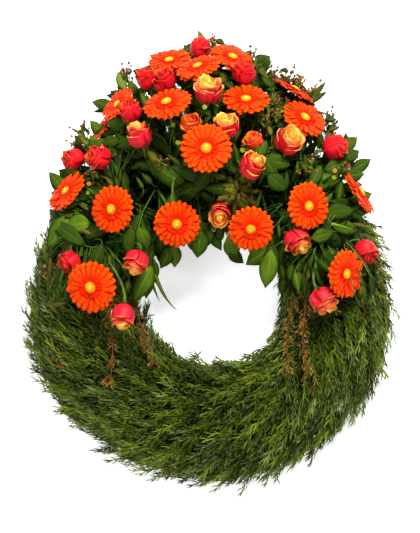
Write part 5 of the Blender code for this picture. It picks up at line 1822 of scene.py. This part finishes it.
def wreath():
    """Builds every piece of the wreath in the places of its solids."""
    kinds = [sprig(np.random.default_rng(40 + k)) for k in range(6)]
    for index in range(10):
        conifer_length(index, kinds)
    feet = {name: (*BED_ENDS[name], SHELF_HEIGHT + SEAT_GAP + FOAM_HEIGHT[name]) for name in FOAM_ENDS}
    room, flowers = Room(), []
    for number, (across, up, height, lean, direction, radius, block) in enumerate(GERBERAS, 1):
        name, place, way = f"gerbera_{number:02d}", seen(across, up, height), facing(lean, direction)
        radius = radius / 1000
        gerbera(number, place, way, radius)
        room.discs[name] = place, way, radius
        flowers.append((name, place - way * (GERBERA_SEAT + SEAT_GAP), way, block, 0.0030))
    for number, (across, up, height, lean, direction, size, block) in enumerate(ROSES, 1):
        name, place, way = f"rose_{number:02d}", seen(across, up, height), facing(lean, direction)
        rose(number, place, way, size)
        room.balls[name] = place, ROSE_LENGTH * size * 0.56
        flowers.append((name, place - way * (ROSE_LENGTH * size / 2 + SEAT_GAP), way, block, 0.0026))
    for name, (angle, branches) in SEED_SPRAYS.items():
        for places in branches:
            line = seed_branch_line(angle, name, places)
            spots = [line[i].lerp(line[i + 1], s / 6) for i in range(1, 5) for s in range(6)]
            room.lines += [(spot, 0.006, "seeds") for spot in spots]
        seed_spray(name)
    stems = [
        (block, stem_line(seat, way, block, feet, room, name), radius)
        for name, seat, way, block, radius in flowers
    ]
    room.settle_lines()
    greens(feet, room, stems, grow_leaves(feet, room))


def dress_solids():
    """The straw ring and the foam keep their solids' shape and get their finishes."""
    straw, foam = straw_finish(), foam_finish()
    for name, node in NODES.items():
        finish = straw if name == "straw_ring" else foam if name.startswith("foam") else None
        if finish:
            for slot in node.material_slots:
                slot.material = finish


def studio():
    """Pale floor, soft light from above and from the sides, and the camera."""
    bpy.ops.object.select_all(action="DESELECT")
    bpy.ops.mesh.primitive_plane_add(size=90.0, location=(0.0, 0.0, -0.0005))
    floor = bpy.context.object
    floor.name = "floor"
    made, tree, shader = new_finish("floor", 0.9, 0.2)
    grain = ranged(tree, noise_node(tree, object_place(tree), 3.0), 0.3, 0.7)
    distance = tree.nodes.new("ShaderNodeVectorMath")
    distance.operation = "LENGTH"
    feed(tree, distance, {0: object_place(tree)})
    far = ranged(tree, distance.outputs["Value"], 1.2, 4.0)
    feed(tree, shader, {
        "Base Color": mix_node(tree, grain, colour(0.93, 0.93, 0.93), colour(0.95, 0.95, 0.95)),
        "Emission Color": mix_node(tree, far, colour(0.67, 0.67, 0.67), colour(1.0, 1.0, 1.0)),
        "Emission Strength": FLOOR_GLOW,
    })
    floor.data.materials.append(made)
    for name, place, size, power, aim in LIGHTS:
        light = bpy.data.lights.new(name, "AREA")
        light.size = size
        light.energy = power
        lamp = bpy.data.objects.new(name, light)
        lamp.location = place
        lamp.rotation_euler = (Vector(aim) - Vector(place)).to_track_quat("-Z", "Y").to_euler()
        bpy.context.scene.collection.objects.link(lamp)
    world = bpy.data.worlds.new("soft_sky")
    bpy.context.scene.world = world
    world.use_nodes = True
    tree = world.node_tree
    by_eye = tree.nodes.new("ShaderNodeLightPath").outputs["Is Camera Ray"]
    strength = ranged(tree, by_eye, 0.0, 1.0, SKY_LIGHT, 1.0)
    feed(tree, tree.nodes["Background"], {0: colour(1.0, 1.0, 1.0), 1: strength})
    camera = bpy.data.objects.new("camera", bpy.data.cameras.new("camera"))
    camera.data.sensor_fit = "VERTICAL"
    camera.data.sensor_height = SENSOR_HEIGHT
    camera.data.lens = FOCAL_PIXELS * SENSOR_HEIGHT / PICTURE_HEIGHT
    camera.location = EYE + RIGHT * 0.002
    camera.rotation_euler = Matrix((RIGHT, RISE, TOWARDS)).transposed().to_euler()
    bpy.context.scene.collection.objects.link(camera)
    bpy.context.scene.camera = camera
    bpy.context.scene.view_settings.view_transform = "Standard"


wreath()
dress_solids()
studio()
